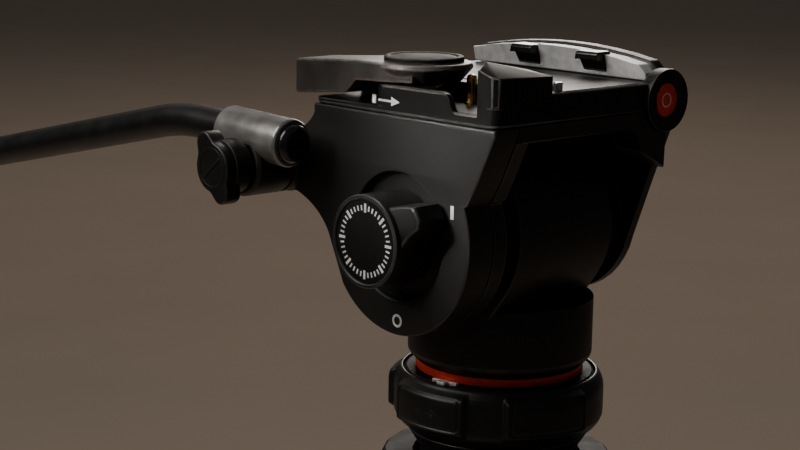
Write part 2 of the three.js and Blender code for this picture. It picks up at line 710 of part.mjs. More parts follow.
// ---------------------------------------------------------------- plate lock lever
function buildLever() {
  const moved = new THREE.Matrix4().makeTranslation(leverPivotX, leverPivotY, 0);
  const hubProfile = [
    [leverPinRadius + gap, leverHubBottom],
    [leverHubBottomRadius, leverHubBottom],
    [leverHubTopRadius, leverHubTop - 1.6],
    [leverHubTopRadius - 0.8, leverHubTop],
    [leverPinRadius + gap, leverHubTop],
  ];
  const points = [...hubProfile, hubProfile[0]].map(([r, z]) => new THREE.Vector2(r, z));
  const lathe = new THREE.LatheGeometry(points, 32).rotateX(Math.PI / 2);
  const hub = solid(lathe.applyMatrix4(moved));

  const plan = new THREE.Shape();
  plan.moveTo(leverPivotX - 13, leverPivotY - 8);
  plan.lineTo(leverPivotX + 12, leverPivotY + 9);
  plan.quadraticCurveTo(leverInnerX + 3, 24, leverInnerX, leverEndY - 7);
  plan.quadraticCurveTo(leverInnerX, leverEndY, leverInnerX - 6, leverEndY);
  plan.lineTo(leverOuterX + 4, leverEndY);
  plan.quadraticCurveTo(leverOuterX, leverEndY, leverOuterX, leverEndY - 4);
  plan.lineTo(leverOuterX, leverPivotY + 5);
  const side = new THREE.Shape();
  side.moveTo(-16, leverHubBottom + 0.8);
  side.lineTo(19.5, leverHubBottom - 0.2);
  side.lineTo(24.5, leverPaddleBottom + 2.6);
  side.lineTo(leverEndY - 2, leverPaddleBottom);
  side.quadraticCurveTo(leverEndY, leverPaddleBottom, leverEndY, leverPaddleBottom + 3);
  side.lineTo(leverEndY, leverPaddleTop - 3);
  side.quadraticCurveTo(leverEndY, leverPaddleTop, leverEndY - 4, leverPaddleTop);
  side.lineTo(20, leverHubTop);
  side.lineTo(-16, leverHubTop);
  const arm = extrudeZ(plan, deckTop, aboveHead, 0, 8)
    .intersect(extrudeX(side, leverOuterX - 5, leverPivotX + 30, 0, 6));
  const pinHole = barZ(leverPinRadius + gap, deckTop, aboveHead, leverPivotX, leverPivotY, 24);
  add(head, "lock_lever", cut(join(hub, arm), pinHole), finishes.lever());

  const discLow = leverHubTop + gap;
  const disc = new THREE.LatheGeometry([
    [0, discLow],
    [leverDiscRadius, discLow],
    [leverDiscRadius - 0.5, discLow + leverDiscHeight],
    [leverDiscRadius - 2, discLow + leverDiscHeight],
    [leverDiscRadius - 2.6, discLow + leverDiscHeight - 0.5],
    [0, discLow + leverDiscHeight - 0.5],
  ].map(([r, z]) => new THREE.Vector2(r, z)), 28).rotateX(Math.PI / 2);
  add(head, "lever_disc", solid(disc.applyMatrix4(moved)), finishes.lever());

  const pin = barZ(leverPinRadius, deckTop + 2 * gap, leverHubTop, leverPivotX, leverPivotY, 24);
  add(head, "lever_pivot", pin, finishes.brass());

  const pinLow = deckTop + safetyPinTravel + 2 * gap;
  const safety = barZ(safetyPinRadius, pinLow, safetyPinTop, safetyPinX, safetyPinY, 16);
  add(head, "safety_pin", safety, finishes.brass());
}

// ---------------------------------------------------------------- pan bar and clamp
const barZAt = (y) => sleeveFrontZ + (y - sleeveFrontY) * sleeveSlope;

function along(radius, fromY, toY, sides = 28) {
  const from = new THREE.Vector3(sleeveX, fromY, barZAt(fromY));
  const to = new THREE.Vector3(sleeveX, toY, barZAt(toY));
  return rodBetween(radius, from, to, sides);
}

function rodBetween(radius, from, to, sides = 28) {
  const length = from.distanceTo(to);
  const direction = to.clone().sub(from).normalize();
  const turn = new THREE.Quaternion().setFromUnitVectors(new THREE.Vector3(0, 1, 0), direction);
  const geometry = new THREE.CylinderGeometry(radius, radius, length, sidesOf(sides));
  geometry.translate(0, length / 2, 0).applyQuaternion(turn);
  return solid(geometry.translate(from.x, from.y, from.z));
}

function buildClamp() {
  const bracket = cut(
    join(
      barX(rosetteRadius - 0.3, bracketOuterX, rosetteFaceX - 2 * gap, rosetteY, rosetteZ, 36),
      along(sleeveRadius, sleeveFrontY + 1, sleeveRearY),
    ),
    along(barRadius + gap, sleeveFrontY + 6, sleeveRearY + 5),
    barX(clampScrewRadius + gap, bracketOuterX - 5, rosetteFaceX, rosetteY, rosetteZ, 20),
  );
  add(head, "clamp_bracket", bracket, finishes.satin());

  const cap = join(
    along(sleeveRadius - 1.6, sleeveFrontY - 2.6, sleeveFrontY + 1 - gap),
    along(sleeveRadius - 3, sleeveFrontY - 3.6, sleeveFrontY),
  );
  add(head, "sleeve_cap", cap, finishes.plastic());

  const knobFace = bracketOuterX - 2 * gap - clampKnobDepth;
  const wingAngle = THREE.MathUtils.degToRad(60);
  const half = clampKnobSpan / 2;
  const wing = new THREE.Shape();
  const w = clampKnobWing / 2;
  wing.moveTo(-half + w, -w);
  wing.lineTo(half - w, -w);
  wing.absarc(half - w, 0, w, -Math.PI / 2, Math.PI / 2);
  wing.absarc(-half + w, 0, w, Math.PI / 2, 1.5 * Math.PI);
  const wings = new THREE.ExtrudeGeometry(wing, {
    depth: clampKnobDepth - 5, bevelEnabled: true, bevelThickness: 1, bevelSize: 1,
    bevelOffset: -1, bevelSegments: 2, curveSegments: 6,
  });
  wings.rotateZ(wingAngle).translate(rosetteY, rosetteZ, knobFace + 1);
  const knob = cut(
    join(
      solid(wings.applyMatrix4(toX)),
      barX(clampKnobRadius, knobFace + 1.2, bracketOuterX - 2 * gap, rosetteY, rosetteZ, 32),
    ),
    barX(clampScrewRadius + gap, knobFace + 4, 0, rosetteY, rosetteZ, 20),
  );
  add(head, "clamp_knob", knob, finishes.plastic());

  const screw = barX(clampScrewRadius, knobFace + 4.4, coverSeamX - 3.6, rosetteY, rosetteZ, 20);
  add(head, "clamp_screw", screw, finishes.steel());
}

function buildPanBar() {
  const bendZ = barZAt(barBendY);
  const fallTo = (y) => bendZ - (y - barBendY) * barFall;
  const at = (y, z) => new THREE.Vector3(sleeveX, y, z);
  const startY = sleeveFrontY + 7;
  const path = new THREE.CurvePath();
  const before = barBendY - barBendRun;
  const after = barBendY + barBendRun;
  path.add(new THREE.LineCurve3(at(startY, barZAt(startY)), at(before, barZAt(before))));
  path.add(new THREE.QuadraticBezierCurve3(
    at(before, barZAt(before)), at(barBendY, bendZ), at(after, fallTo(after)),
  ));
  path.add(new THREE.LineCurve3(at(after, fallTo(after)), at(barEndY, fallTo(barEndY))));
  const section = new THREE.Shape().absarc(0, 0, barRadius, 0, 2 * Math.PI);
  const tube = new THREE.ExtrudeGeometry(section, {
    steps: 36, curveSegments: 6, bevelEnabled: false, extrudePath: path,
  });
  add(head, "pan_bar", solid(tube), finishes.satin());

  const slope = new THREE.Vector3(0, 1, -barFall).normalize();
  const end = at(barEndY, fallTo(barEndY));
  const tip = end.clone().addScaledVector(slope, 5);
  const front = tip.clone().addScaledVector(slope, -gripLength);
  const bore = rodBetween(
    barRadius + gap, front.clone().addScaledVector(slope, -5), end.clone().addScaledVector(slope, gap),
  );
  const grip = join(
    rodBetween(gripRadius, front.clone().addScaledVector(slope, 3), tip.clone().addScaledVector(slope, -3)),
    rodBetween(gripRadius - 2, front, tip),
  );
  add(head, "bar_grip", cut(grip, bore), finishes.rubber());
}

// ---------------------------------------------------------------- tilt lock
function buildTiltLock() {
  const low = farX + 2 * gap;
  const high = low + tiltLockDepth;
  const angle = THREE.MathUtils.degToRad(-62);
  const arm = new THREE.Shape();
  arm.moveTo(0, -5);
  arm.lineTo(tiltLockReach, -3.6);
  arm.absarc(tiltLockReach, 0, 3.6, -Math.PI / 2, Math.PI / 2);
  arm.lineTo(0, 5);
  const blade = new THREE.ExtrudeGeometry(arm, {
    depth: tiltLockDepth - 2, bevelEnabled: false, curveSegments: 6,
  });
  blade.rotateZ(angle).translate(0, tiltHeight, low + 1);
  const lever = join(
    barX(tiltLockHubRadius, low, high, 0, tiltHeight, 32),
    solid(blade.applyMatrix4(toX)),
    barX(studRadius, axleEndX + gap, low + overlap, 0, tiltHeight, 24),
  );
  add(head, "tilt_lock_lever", lever, finishes.plastic());
}

// ---------------------------------------------------------------- levelling top
function buildLevellingTop() {
  const plateTop = -ringHeight - gap;
  const plateLow = plateTop - plateThickness;
  const plate = turned([
    [screwRadius + gap, plateTop],
    [ringRadius + 0.5, plateTop],
    [plateRadius, plateTop - 2],
    [plateRadius, plateLow + 1],
    [plateRadius - 1, plateLow],
    [screwRadius + gap, plateLow],
  ], 48);
  add(head, "levelling_plate", plate, finishes.satin());

  const neckTop = plateLow - gap;
  const collarLow = neckTop - collarHeight;
  const coneTop = collarLow - gap;
  const headRadius = 9;
  const coneBottomAngle = -THREE.MathUtils.degToRad(5);
  const ball = turned([
    [tieRodRadius + gap, neckTop - 8],
    ...arcPoints(ballCentreZ, ballRadius, belowEquator(ballRadius, tieRodRadius + gap),
      coneBottomAngle, 4),
    [ballRadius + 4.9, coneTop],
    [neckRadius, coneTop],
    [neckRadius, neckTop],
    [headRadius + gap, neckTop],
    [headRadius + gap, neckTop - 8],
  ], 40);
  add(head, "levelling_ball", ball, finishes.satin());

  const screw = join(
    barZ(screwRadius, neckTop - overlap, spindleHeight / 2, 0, 0, 24),
    barZ(headRadius, neckTop - 3, plateLow - gap, 0, 0, 24),
  );
  add(head, "head_screw", screw, finishes.steel());

  add(head, "levelling_collar", collarSolid(neckTop, collarLow), finishes.plastic());

  const linerRadius = ballRadius + ballClearance;
  const liner = turned([
    ...arcPoints(ballCentreZ, linerRadius, belowEquator(linerRadius, 13), linerRimAngle, 5),
    ...arcPoints(ballCentreZ, linerRadius + linerWall, linerRimAngle,
      belowEquator(linerRadius + linerWall, 13), 5),
  ], 40);
  add(head, "cup_liner", liner, finishes.plastic());

  const rodLow = ballCentreZ - crownBottomRadius - 12;
  const rod = join(
    barZ(tieRodRadius, rodLow, neckTop - 8 - gap, 0, 0, 24),
    barZ(tieHeadRadius, rodLow, rodLow + 5.5, 0, 0, 12),
  );
  add(head, "tie_rod", rod, finishes.steel());
  const cupSphere = crownBottomRadius + tieCupClearance;
  const cup = turned([
    ...arcPoints(ballCentreZ, cupSphere, belowEquator(cupSphere, tieRodRadius + gap),
      belowEquator(cupSphere, tieCupRadius), 2),
    [tieCupRadius, rodLow + 5.5 + gap],
    [tieRodRadius + gap, rodLow + 5.5 + gap],
  ], 36);
  add(head, "tie_cup", cup, finishes.satin());
}

// The collar's outline swells into grip lobes; its lower edge is a plain cone.
function collarSolid(top, low) {
  const outline = new THREE.Shape();
  const ramp = THREE.MathUtils.degToRad(3);
  [...collarLobeAngles].sort((a, b) => a - b).forEach((angle, i, all) => {
    const start = angle - collarLobeHalfAngle;
    const end = angle + collarLobeHalfAngle;
    const next = (i + 1 < all.length ? all[i + 1] : all[0] + 2 * Math.PI) - collarLobeHalfAngle;
    outline.absarc(0, 0, collarLobeRadius, start + ramp, end - ramp);
    outline.absarc(0, 0, collarRadius, end + ramp, next - ramp);
  });
  const boreRadius = plateRadius + gap;
  const lobes = cut(
    extrudeZ(outline, low + 6, collarLobeTop, 1.4, 4),
    barZ(boreRadius, top, collarLobeTop + overlap, 0, 0, 48),
  );
  const core = turned([
    [10, low],
    [collarRadius - 3.4, low],
    [collarRadius, low + 4],
    [collarRadius, collarLobeTop - 3],
    [boreRadius + 2.2, collarRimTop],
    [boreRadius, collarRimTop],
    [boreRadius, top],
    [10, top],
  ], 48);
  return cut(join(lobes, core), barZ(neckRadius + gap, low - overlap, top + overlap, 0, 0, 40));
}

// ---------------------------------------------------------------- crown and legs
function buildCrown() {
  const cupRadius = ballRadius + linerWall + 2 * ballClearance;
  const hingeDrop = hingeZ - knuckleRadius;
  const core = turned([
    ...arcPoints(ballCentreZ, cupRadius, belowEquator(cupRadius, crownHoleRadius),
      -Math.asin((ballCentreZ - crownRimZ) / cupRadius), 4),
    [crownRimRadius - 1.5, crownRimZ],
    [crownRimRadius, crownRimZ - 1.5],
    [crownRimRadius - 1, -42],
    [hingeReach - knuckleRadius - 6, -50],
    [hingeReach - knuckleRadius - 4 * gap - 5, hingeZ],
    ...arcPoints(ballCentreZ, crownBottomRadius, belowEquator(crownBottomRadius, 27),
      belowEquator(crownBottomRadius, crownHoleRadius), 2),
  ], 40);
  const ear = new THREE.Shape();
  ear.moveTo(33, -40);
  ear.lineTo(36, -40);
  ear.lineTo(hingeReach + 4, hingeZ + 16);
  ear.absarc(hingeReach, hingeZ, knuckleRadius + 1.5, 0.9, -Math.PI / 2, true);
  ear.lineTo(33, hingeDrop + 6);
  const inner = knuckleWidth / 2 + gap;
  const ears = [];
  for (let i = 0; i < legCount; i++) {
    for (const side of [-1, 1]) {
      const geometry = new THREE.ExtrudeGeometry(ear, {
        depth: earThickness, bevelEnabled: false, curveSegments: 3,
      });
      geometry.translate(0, 0, side > 0 ? inner : -inner - earThickness);
      geometry.rotateX(Math.PI / 2).rotateZ(legAzimuth(i));
      ears.push(solid(geometry));
    }
  }
  const pinBores = Array.from({ length: legCount }, (_, i) => {
    const reach = inner + earThickness + overlap;
    return hingeBar(pinRadius + gap, -reach, reach, i);
  });
  add(head, "crown", cut(join(core, ...ears), ...pinBores), finishes.casting());
}

const legAzimuth = (i) => -Math.PI / 2 + (i * 2 * Math.PI) / legCount;

// A round bar along leg i's hinge axis.
function hingeBar(radius, from, to, i) {
  const geometry = new THREE.CylinderGeometry(radius, radius, to - from, sidesOf(24));
  geometry.translate(hingeReach, (from + to) / 2, hingeZ);
  return solid(geometry.rotateZ(legAzimuth(i)));
}

// One leg in its own frame: the hinge pin is at the origin, along Y, the leg runs down
// along -Z, and +X points away from the tripod's middle.
function buildLeg(i) {
  const number = i + 1;
  const leg = new THREE.Group();
  leg.position.set(hingeReach, 0, hingeZ);
  leg.rotation.y = -legSpread;
  const turn = new THREE.Group();
  turn.rotation.z = legAzimuth(i);
  turn.add(leg);
  head.add(turn);

  const pinReach = knuckleWidth / 2 + gap + earThickness;
  add(leg, `hinge_pin_${number}`, barY(pinRadius, -pinReach, pinReach, 0, 0, 24), finishes.steel());

  const tubeTop = socketTop + 6;
  const half = knuckleWidth / 2;
  const socket = cut(
    join(
      barY(knuckleRadius, -half, half, 0, 0, 32),
      box(-knuckleRadius, knuckleRadius, -half, half, -socketTop - overlap, 0),
      turnedDown([[0, socketTop], [socketRadius - 3, socketTop], [socketRadius, socketTop + 4],
        [socketRadius, socketBottom], [0, socketBottom]]),
    ),
    barY(pinRadius + gap, -half - overlap, half + overlap, 0, 0, 24),
    barZ(upperTubeRadius + gap, -socketBottom - overlap, -tubeTop, 0, 0, 28),
  );
  add(leg, `leg_socket_${number}`, socket, finishes.casting());

  const upper = tube(upperTubeRadius, tubeWall, tubeTop + gap, upperTubeEnd);
  add(leg, `upper_tube_${number}`, upper, finishes.satin());

  const lockTop = upperTubeEnd - lockLength + 14;
  const lockEnd = lockTop + lockLength;
  const knuckle = { x: lockRadius + gap + lockKnuckleRadius + gap, y: 1.5 };
  const lugX = knuckle.x + lockKnuckleRadius;
  const lockBody = cut(
    join(
      turnedDown([[0, lockTop], [lockRadius - 2, lockTop], [lockRadius, lockTop + 2],
        [lockRadius, lockEnd - 2], [lockRadius - 2, lockEnd], [0, lockEnd]]),
      box(0, lugX, -4, 5, -lockTop - 11, -lockTop - 3),
      box(0, lugX, -4, 5, -lockEnd + 3, -lockEnd + 11),
    ),
    barZ(upperTubeRadius + gap, -upperTubeEnd - gap, -lockTop + overlap, 0, 0, 28),
    barZ(lowerTubeRadius + gap, -lockEnd - overlap, -upperTubeEnd, 0, 0, 28),
  );
  add(leg, `leg_lock_${number}`, lockBody, finishes.plastic());

  const handle = new THREE.Shape();
  const inside = lockRadius + 2 * gap;
  const outside = inside + 5;
  handle.absarc(0, 0, outside, 0.12, 2);
  handle.absarc(0, 0, inside, 2, 0.24, true);
  const lever = extrudeZ(handle, -lockEnd + 11 + gap, -lockTop - 11 - gap, 0.8, 6);
  const barrel = barZ(
    lockKnuckleRadius, -lockEnd + 11 + gap, -lockTop - 11 - gap, knuckle.x, knuckle.y, 16,
  );
  add(leg, `lock_lever_${number}`, join(lever, barrel), finishes.plastic());

  const tubeEnd = footCentre - footNeck;
  const lower = tube(lowerTubeRadius, tubeWall, lowerTubeTop, tubeEnd);
  add(leg, `lower_tube_${number}`, lower, finishes.satin());

  const plugRadius = lowerTubeRadius - tubeWall - gap;
  const neckAngle = Math.acos((lowerTubeRadius + 0.6) / footRadius);
  const foot = turnedDown([
    [0, tubeEnd - 14], [plugRadius, tubeEnd - 14], [plugRadius, tubeEnd + gap],
    [lowerTubeRadius + 0.6, tubeEnd + gap],
    ...arcPoints(footCentre, footRadius, -neckAngle, Math.PI / 2, 5),
  ]);
  const floor = new THREE.BoxGeometry(80, 80, 40).translate(0, 0, -footDrop - 20);
  floor.rotateY(legSpread).translate(0, 0, -footCentre);
  add(leg, `foot_${number}`, cut(foot, solid(floor)), finishes.rubber());
}

// A profile of [radius, distance down the leg] points.
const turnedDown = (profile) => turned(profile.map(([r, down]) => [r, -down]), 28);

const tube = (radius, wall, top, end) =>
  turnedDown([[radius - wall, top], [radius, top], [radius, end], [radius - wall, end]]);

// ---------------------------------------------------------------- the whole
buildPanBase();
buildPanHousing();
buildPanKnob();
buildSideCover();
buildTiltFrame();
buildSpring();
buildCounterbalanceKnob();
buildPlatform();
buildJaw();
buildLever();
buildClamp();
buildPanBar();
buildTiltLock();
buildLevellingTop();
buildCrown();
for (let i = 0; i < legCount; i++) buildLeg(i);

export default tripod;
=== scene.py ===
# %% [markdown]
# # A tripod with a fluid video head
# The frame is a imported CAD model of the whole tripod: crown, legs, pan base, tilting
# cradle, plate clamp and pan bar, with its joints. This file gives it its looks. Every
# piece is made at its place on the frame, rides on one of its bodies, and stands for
# the plain CAD node of the same part.

# %% Load the frame
import json
import math

import bmesh
import bpy
from mathutils import Matrix, Vector


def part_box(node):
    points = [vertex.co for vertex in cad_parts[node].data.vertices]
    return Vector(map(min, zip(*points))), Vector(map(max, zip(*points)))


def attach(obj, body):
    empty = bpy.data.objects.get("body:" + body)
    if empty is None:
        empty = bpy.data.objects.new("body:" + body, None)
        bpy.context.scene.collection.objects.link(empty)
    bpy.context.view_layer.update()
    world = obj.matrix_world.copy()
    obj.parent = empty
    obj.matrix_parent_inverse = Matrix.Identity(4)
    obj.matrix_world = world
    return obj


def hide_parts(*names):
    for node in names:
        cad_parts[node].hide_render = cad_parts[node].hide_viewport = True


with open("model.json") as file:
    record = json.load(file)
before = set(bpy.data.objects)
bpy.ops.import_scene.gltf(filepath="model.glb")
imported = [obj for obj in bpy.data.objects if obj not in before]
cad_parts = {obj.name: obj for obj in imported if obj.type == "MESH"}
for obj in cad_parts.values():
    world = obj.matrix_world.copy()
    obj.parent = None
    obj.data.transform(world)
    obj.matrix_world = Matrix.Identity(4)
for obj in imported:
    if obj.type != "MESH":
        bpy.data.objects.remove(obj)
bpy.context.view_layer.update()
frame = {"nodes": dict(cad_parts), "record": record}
head_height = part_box("base_ring")[1][2]
print("pan joint is", round(head_height * 1000, 1), "mm above the floor")

# %% [markdown]
# ## Camera
# A product shot from the operator's side and a little above, with a lens of about
# 80 mm, so the upright edges of the head stay nearly parallel. Its place is measured
# from the pan joint, so that it follows the head if the legs get longer.

# %% Camera
azimuth = math.radians(-43.57)
elevation = math.radians(11.24)
roll = math.radians(0.95)
camera_place = Vector((-0.4509, -0.4212, head_height + 0.1699))
backwards = Vector((
    math.sin(azimuth) * math.cos(elevation),
    -math.cos(azimuth) * math.cos(elevation),
    math.sin(elevation),
))
level_right = Vector((0, 0, 1)).cross(backwards).normalized()
level_up = backwards.cross(level_right)
camera_right = level_right * math.cos(roll) + level_up * math.sin(roll)
camera_up = backwards.cross(camera_right)
camera_data = bpy.data.cameras.new("camera")
camera_data.lens = 79.86
camera_data.sensor_width = 36.0
camera_data.clip_start = 0.01
camera = bpy.data.objects.new("camera", camera_data)
turn = Matrix((camera_right, camera_up, backwards)).transposed().to_4x4()
camera.matrix_world = Matrix.Translation(camera_place) @ turn
bpy.context.collection.objects.link(camera)
bpy.context.scene.camera = camera
print("camera is", round((camera_place - Vector((0, 0, head_height))).length, 3), "m away")

# %% [markdown]
# ## Studio
# A black object shows its form by what it mirrors. A broad soft light high on the
# operator's side, a little behind the head, lights the bevels, whose pale lines are
# also a painted highlight in the edge colour. A weaker one on the far side outlines
# the arm. A very weak and narrow one lies almost along the side cover and lifts its
# upper part, and a large one high up behind lights only the floor there. A dim pale
# room fills the rest without greying the black.

# %% Floor, room and lights
room = bpy.data.worlds.new("room")
room.use_nodes = True
room.node_tree.nodes["Background"].inputs["Color"].default_value = (0.80, 0.79, 0.77, 1)
room.node_tree.nodes["Background"].inputs["Strength"].default_value = 0.06
bpy.context.scene.world = room


def soft_light(name, place, target, size, power, tint):
    data = bpy.data.lights.new(name, "AREA")
    data.shape = "RECTANGLE"
    data.size = size[0]
    data.size_y = size[1]
    data.energy = power
    data.color = tint
    light = bpy.data.objects.new(name, data)
    aim = (Vector(target) - Vector(place)).to_track_quat("-Z", "Y")
    light.matrix_world = Matrix.Translation(place) @ aim.to_matrix().to_4x4()
    bpy.context.collection.objects.link(light)
    return light


def on_head(x, y, z):
    """A place in millimetres on the head, from the pan joint, as a point in metres."""
    return Vector((x / 1000, y / 1000, head_height + z / 1000))


head_middle = on_head(0, 0, 60)
soft_light("key", on_head(-800, 450, 950), head_middle, (0.8, 0.8), 14, (1.0, 0.97, 0.93))
soft_light("rim", on_head(700, 600, 420), head_middle, (0.3, 0.8), 5, (1.0, 0.93, 0.86))
soft_light(
    "backdrop", on_head(3100, 2900, 1900), on_head(3100, 2900, -700), (5, 5), 22,
    (1.0, 0.90, 0.80),
)
upper_cover = on_head(-52, -26, 84)
narrow = soft_light(
    "cover", on_head(-500, 130, 290), upper_cover, (0.06, 0.06), 0.03, (1.0, 0.97, 0.94),
)
narrow.data.spread = math.radians(9)

floor_mesh = bpy.data.meshes.new("floor")
floor_shape = bmesh.new()
bmesh.ops.create_grid(floor_shape, x_segments=1, y_segments=1, size=30)
floor_shape.to_mesh(floor_mesh)
floor_shape.free()
floor = bpy.data.objects.new("floor", floor_mesh)
bpy.context.collection.objects.link(floor)

# %% [markdown]
# ## Shared surface effects
# Powder coat, moulded plastic and cast aluminium all have a fine grain, every handled
# edge is rubbed paler and smoother, partly as wear and partly as a painted highlight, and
# dust lies on what faces up. Each effect is a node group with named inputs, so each
# finish can have its own amount of it.

# %% Node group helpers
def new_group(name, inputs, outputs):
    group = bpy.data.node_groups.new(name, "ShaderNodeTree")
    for label, value in inputs:
        socket = group.interface.new_socket(label, in_out="INPUT", socket_type="NodeSocketFloat")
        socket.default_value = value
    for label in outputs:
        group.interface.new_socket(label, in_out="OUTPUT", socket_type="NodeSocketFloat")
    return group, group.nodes.new("NodeGroupInput"), group.nodes.new("NodeGroupOutput")


def add_node(tree, kind, links=(), **values):
    """A new node: links are (input name or number, socket that feeds it)."""
    node = tree.nodes.new(kind)
    for key, value in values.items():
        setattr(node, key, value)
    for socket, source in links:
        if hasattr(source, "is_output"):
            tree.links.new(source, node.inputs[socket])
        else:
            node.inputs[socket].default_value = source
    return node


def add_math(tree, operation, *terms):
    return add_node(tree, "ShaderNodeMath", list(enumerate(terms)), operation=operation).outputs[0]


def ramp_between(tree, value, low, high, out_low=0.0, out_high=1.0):
    links = [("Value", value), (1, low), (2, high), (3, out_low), (4, out_high)]
    return add_node(tree, "ShaderNodeMapRange", links).outputs[0]


# %% Grain: a fine pebbled height and a slow change of tone
grain, inside, outside = new_group(
    "grain", [("Size", 0.5), ("Mottle Size", 8.0)], ["Height", "Tone"],
)
place = grain.nodes.new("ShaderNodeTexCoord").outputs["Object"]
per_metre = add_math(grain, "DIVIDE", 1000.0, inside.outputs["Size"])
pebbles = add_node(
    grain, "ShaderNodeTexNoise", [("Vector", place), ("Scale", per_metre), ("Detail", 2.0)],
)
mottle_scale = add_math(grain, "DIVIDE", 1000.0, inside.outputs["Mottle Size"])
mottle = add_node(
    grain, "ShaderNodeTexNoise", [("Vector", place), ("Scale", mottle_scale), ("Detail", 3.0)],
)
grain.links.new(pebbles.outputs["Fac"], outside.inputs["Height"])
grain.links.new(mottle.outputs["Fac"], outside.inputs["Tone"])

# %% Edge wear and painted highlight: the rounded edges are painted paler, as rubbed metal and as the highlight a bevel catches, broken up where hands and cases rub them
wear_and_highlight_group, inside, outside = new_group("edge_wear_and_highlight", [("Amount", 0.6), ("Patch Size", 5.0)], ["Mask"])
place = wear_and_highlight_group.nodes.new("ShaderNodeTexCoord").outputs["Object"]
marked = add_node(wear_and_highlight_group, "ShaderNodeAttribute", attribute_name="edge").outputs["Fac"]
patch_scale = add_math(wear_and_highlight_group, "DIVIDE", 1000.0, inside.outputs["Patch Size"])
patches = add_node(
    wear_and_highlight_group, "ShaderNodeTexNoise", [("Vector", place), ("Scale", patch_scale), ("Detail", 4.0)],
)
broken = ramp_between(wear_and_highlight_group, patches.outputs["Fac"], 0.35, 0.65, 0.45, 1.0)
rubbed_and_highlit = add_math(wear_and_highlight_group, "MULTIPLY", marked, broken)
wear_and_highlight_group.links.new(add_math(wear_and_highlight_group, "MULTIPLY", rubbed_and_highlit, inside.outputs["Amount"]), outside.inputs[0])

# %% Dust: pale specks and a thin film on what faces up
dust, inside, outside = new_group("dust", [("Specks", 0.5), ("Film", 0.2)], ["Mask"])
place = dust.nodes.new("ShaderNodeTexCoord").outputs["Object"]
facing = dust.nodes.new("ShaderNodeNewGeometry").outputs["Normal"]
upward = add_node(dust, "ShaderNodeSeparateXYZ", [("Vector", facing)]).outputs["Z"]
flat_up = ramp_between(dust, upward, 0.4, 0.95)
cells = add_node(dust, "ShaderNodeTexVoronoi", [("Vector", place), ("Scale", 700.0)])
specks = ramp_between(dust, cells.outputs["Distance"], 0.10, 0.16, 1.0, 0.0)
chosen = add_node(dust, "ShaderNodeSeparateColor", [("Color", cells.outputs["Color"])])
rare = ramp_between(dust, chosen.outputs[0], 0.80, 0.82)
specks = add_math(dust, "MULTIPLY", add_math(dust, "MULTIPLY", specks, rare), inside.outputs["Specks"])
cloud = add_node(dust, "ShaderNodeTexNoise", [("Vector", place), ("Scale", 90.0), ("Detail", 5.0)])
film = add_math(
    dust, "MULTIPLY", ramp_between(dust, cloud.outputs["Fac"], 0.4, 0.7), inside.outputs["Film"],
)
total = add_math(dust, "MULTIPLY", add_math(dust, "MAXIMUM", specks, film), flat_up)
dust.links.new(total, outside.inputs["Mask"])

# %% Turning marks: fine rings round an axis, as a lathe tool leaves them
turning, inside, outside = new_group("turning_marks", [("Pitch", 0.25)], ["Height", "Tone"])
along = turning.nodes.new("ShaderNodeTexCoord").outputs["UV"]
rings_scale = add_math(turning, "DIVIDE", 1000.0, inside.outputs["Pitch"])
parts = add_node(turning, "ShaderNodeSeparateXYZ", [("Vector", along)])
ring_at = add_math(turning, "MULTIPLY", parts.outputs["Y"], rings_scale)
lines = add_node(
    turning, "ShaderNodeTexNoise", [("W", ring_at), ("Scale", 1.0), ("Detail", 2.0)],
    noise_dimensions="1D",
)
turning.links.new(lines.outputs["Fac"], outside.inputs["Height"])
sweep = add_node(turning, "ShaderNodeTexNoise", [("Vector", along), ("Scale", 60.0)])
turning.links.new(sweep.outputs["Fac"], outside.inputs["Tone"])
print("effects:", [group.name for group in bpy.data.node_groups])


# %% [markdown]
# ## Finishes
# Most of the head is cast aluminium under a fine black powder coat, which is rough and
# grainy. Knobs and lock levers are moulded plastic, smoother. The tubes and the levelling
# ball have a tighter shine, and the sleeve is bare satin metal. One function builds them
# all from the shared effects, and each finish only states its own amounts.

# %% Make a finish
def mix_colours(tree, mask, low, high):
    node = add_node(tree, "ShaderNodeMix", [(0, mask)], data_type="RGBA")
    for number, value in ((6, low), (7, high)):
        if hasattr(value, "is_output"):
            tree.links.new(value, node.inputs[number])
        else:
            node.inputs[number].default_value = (*value, 1)
    return node.outputs[2]


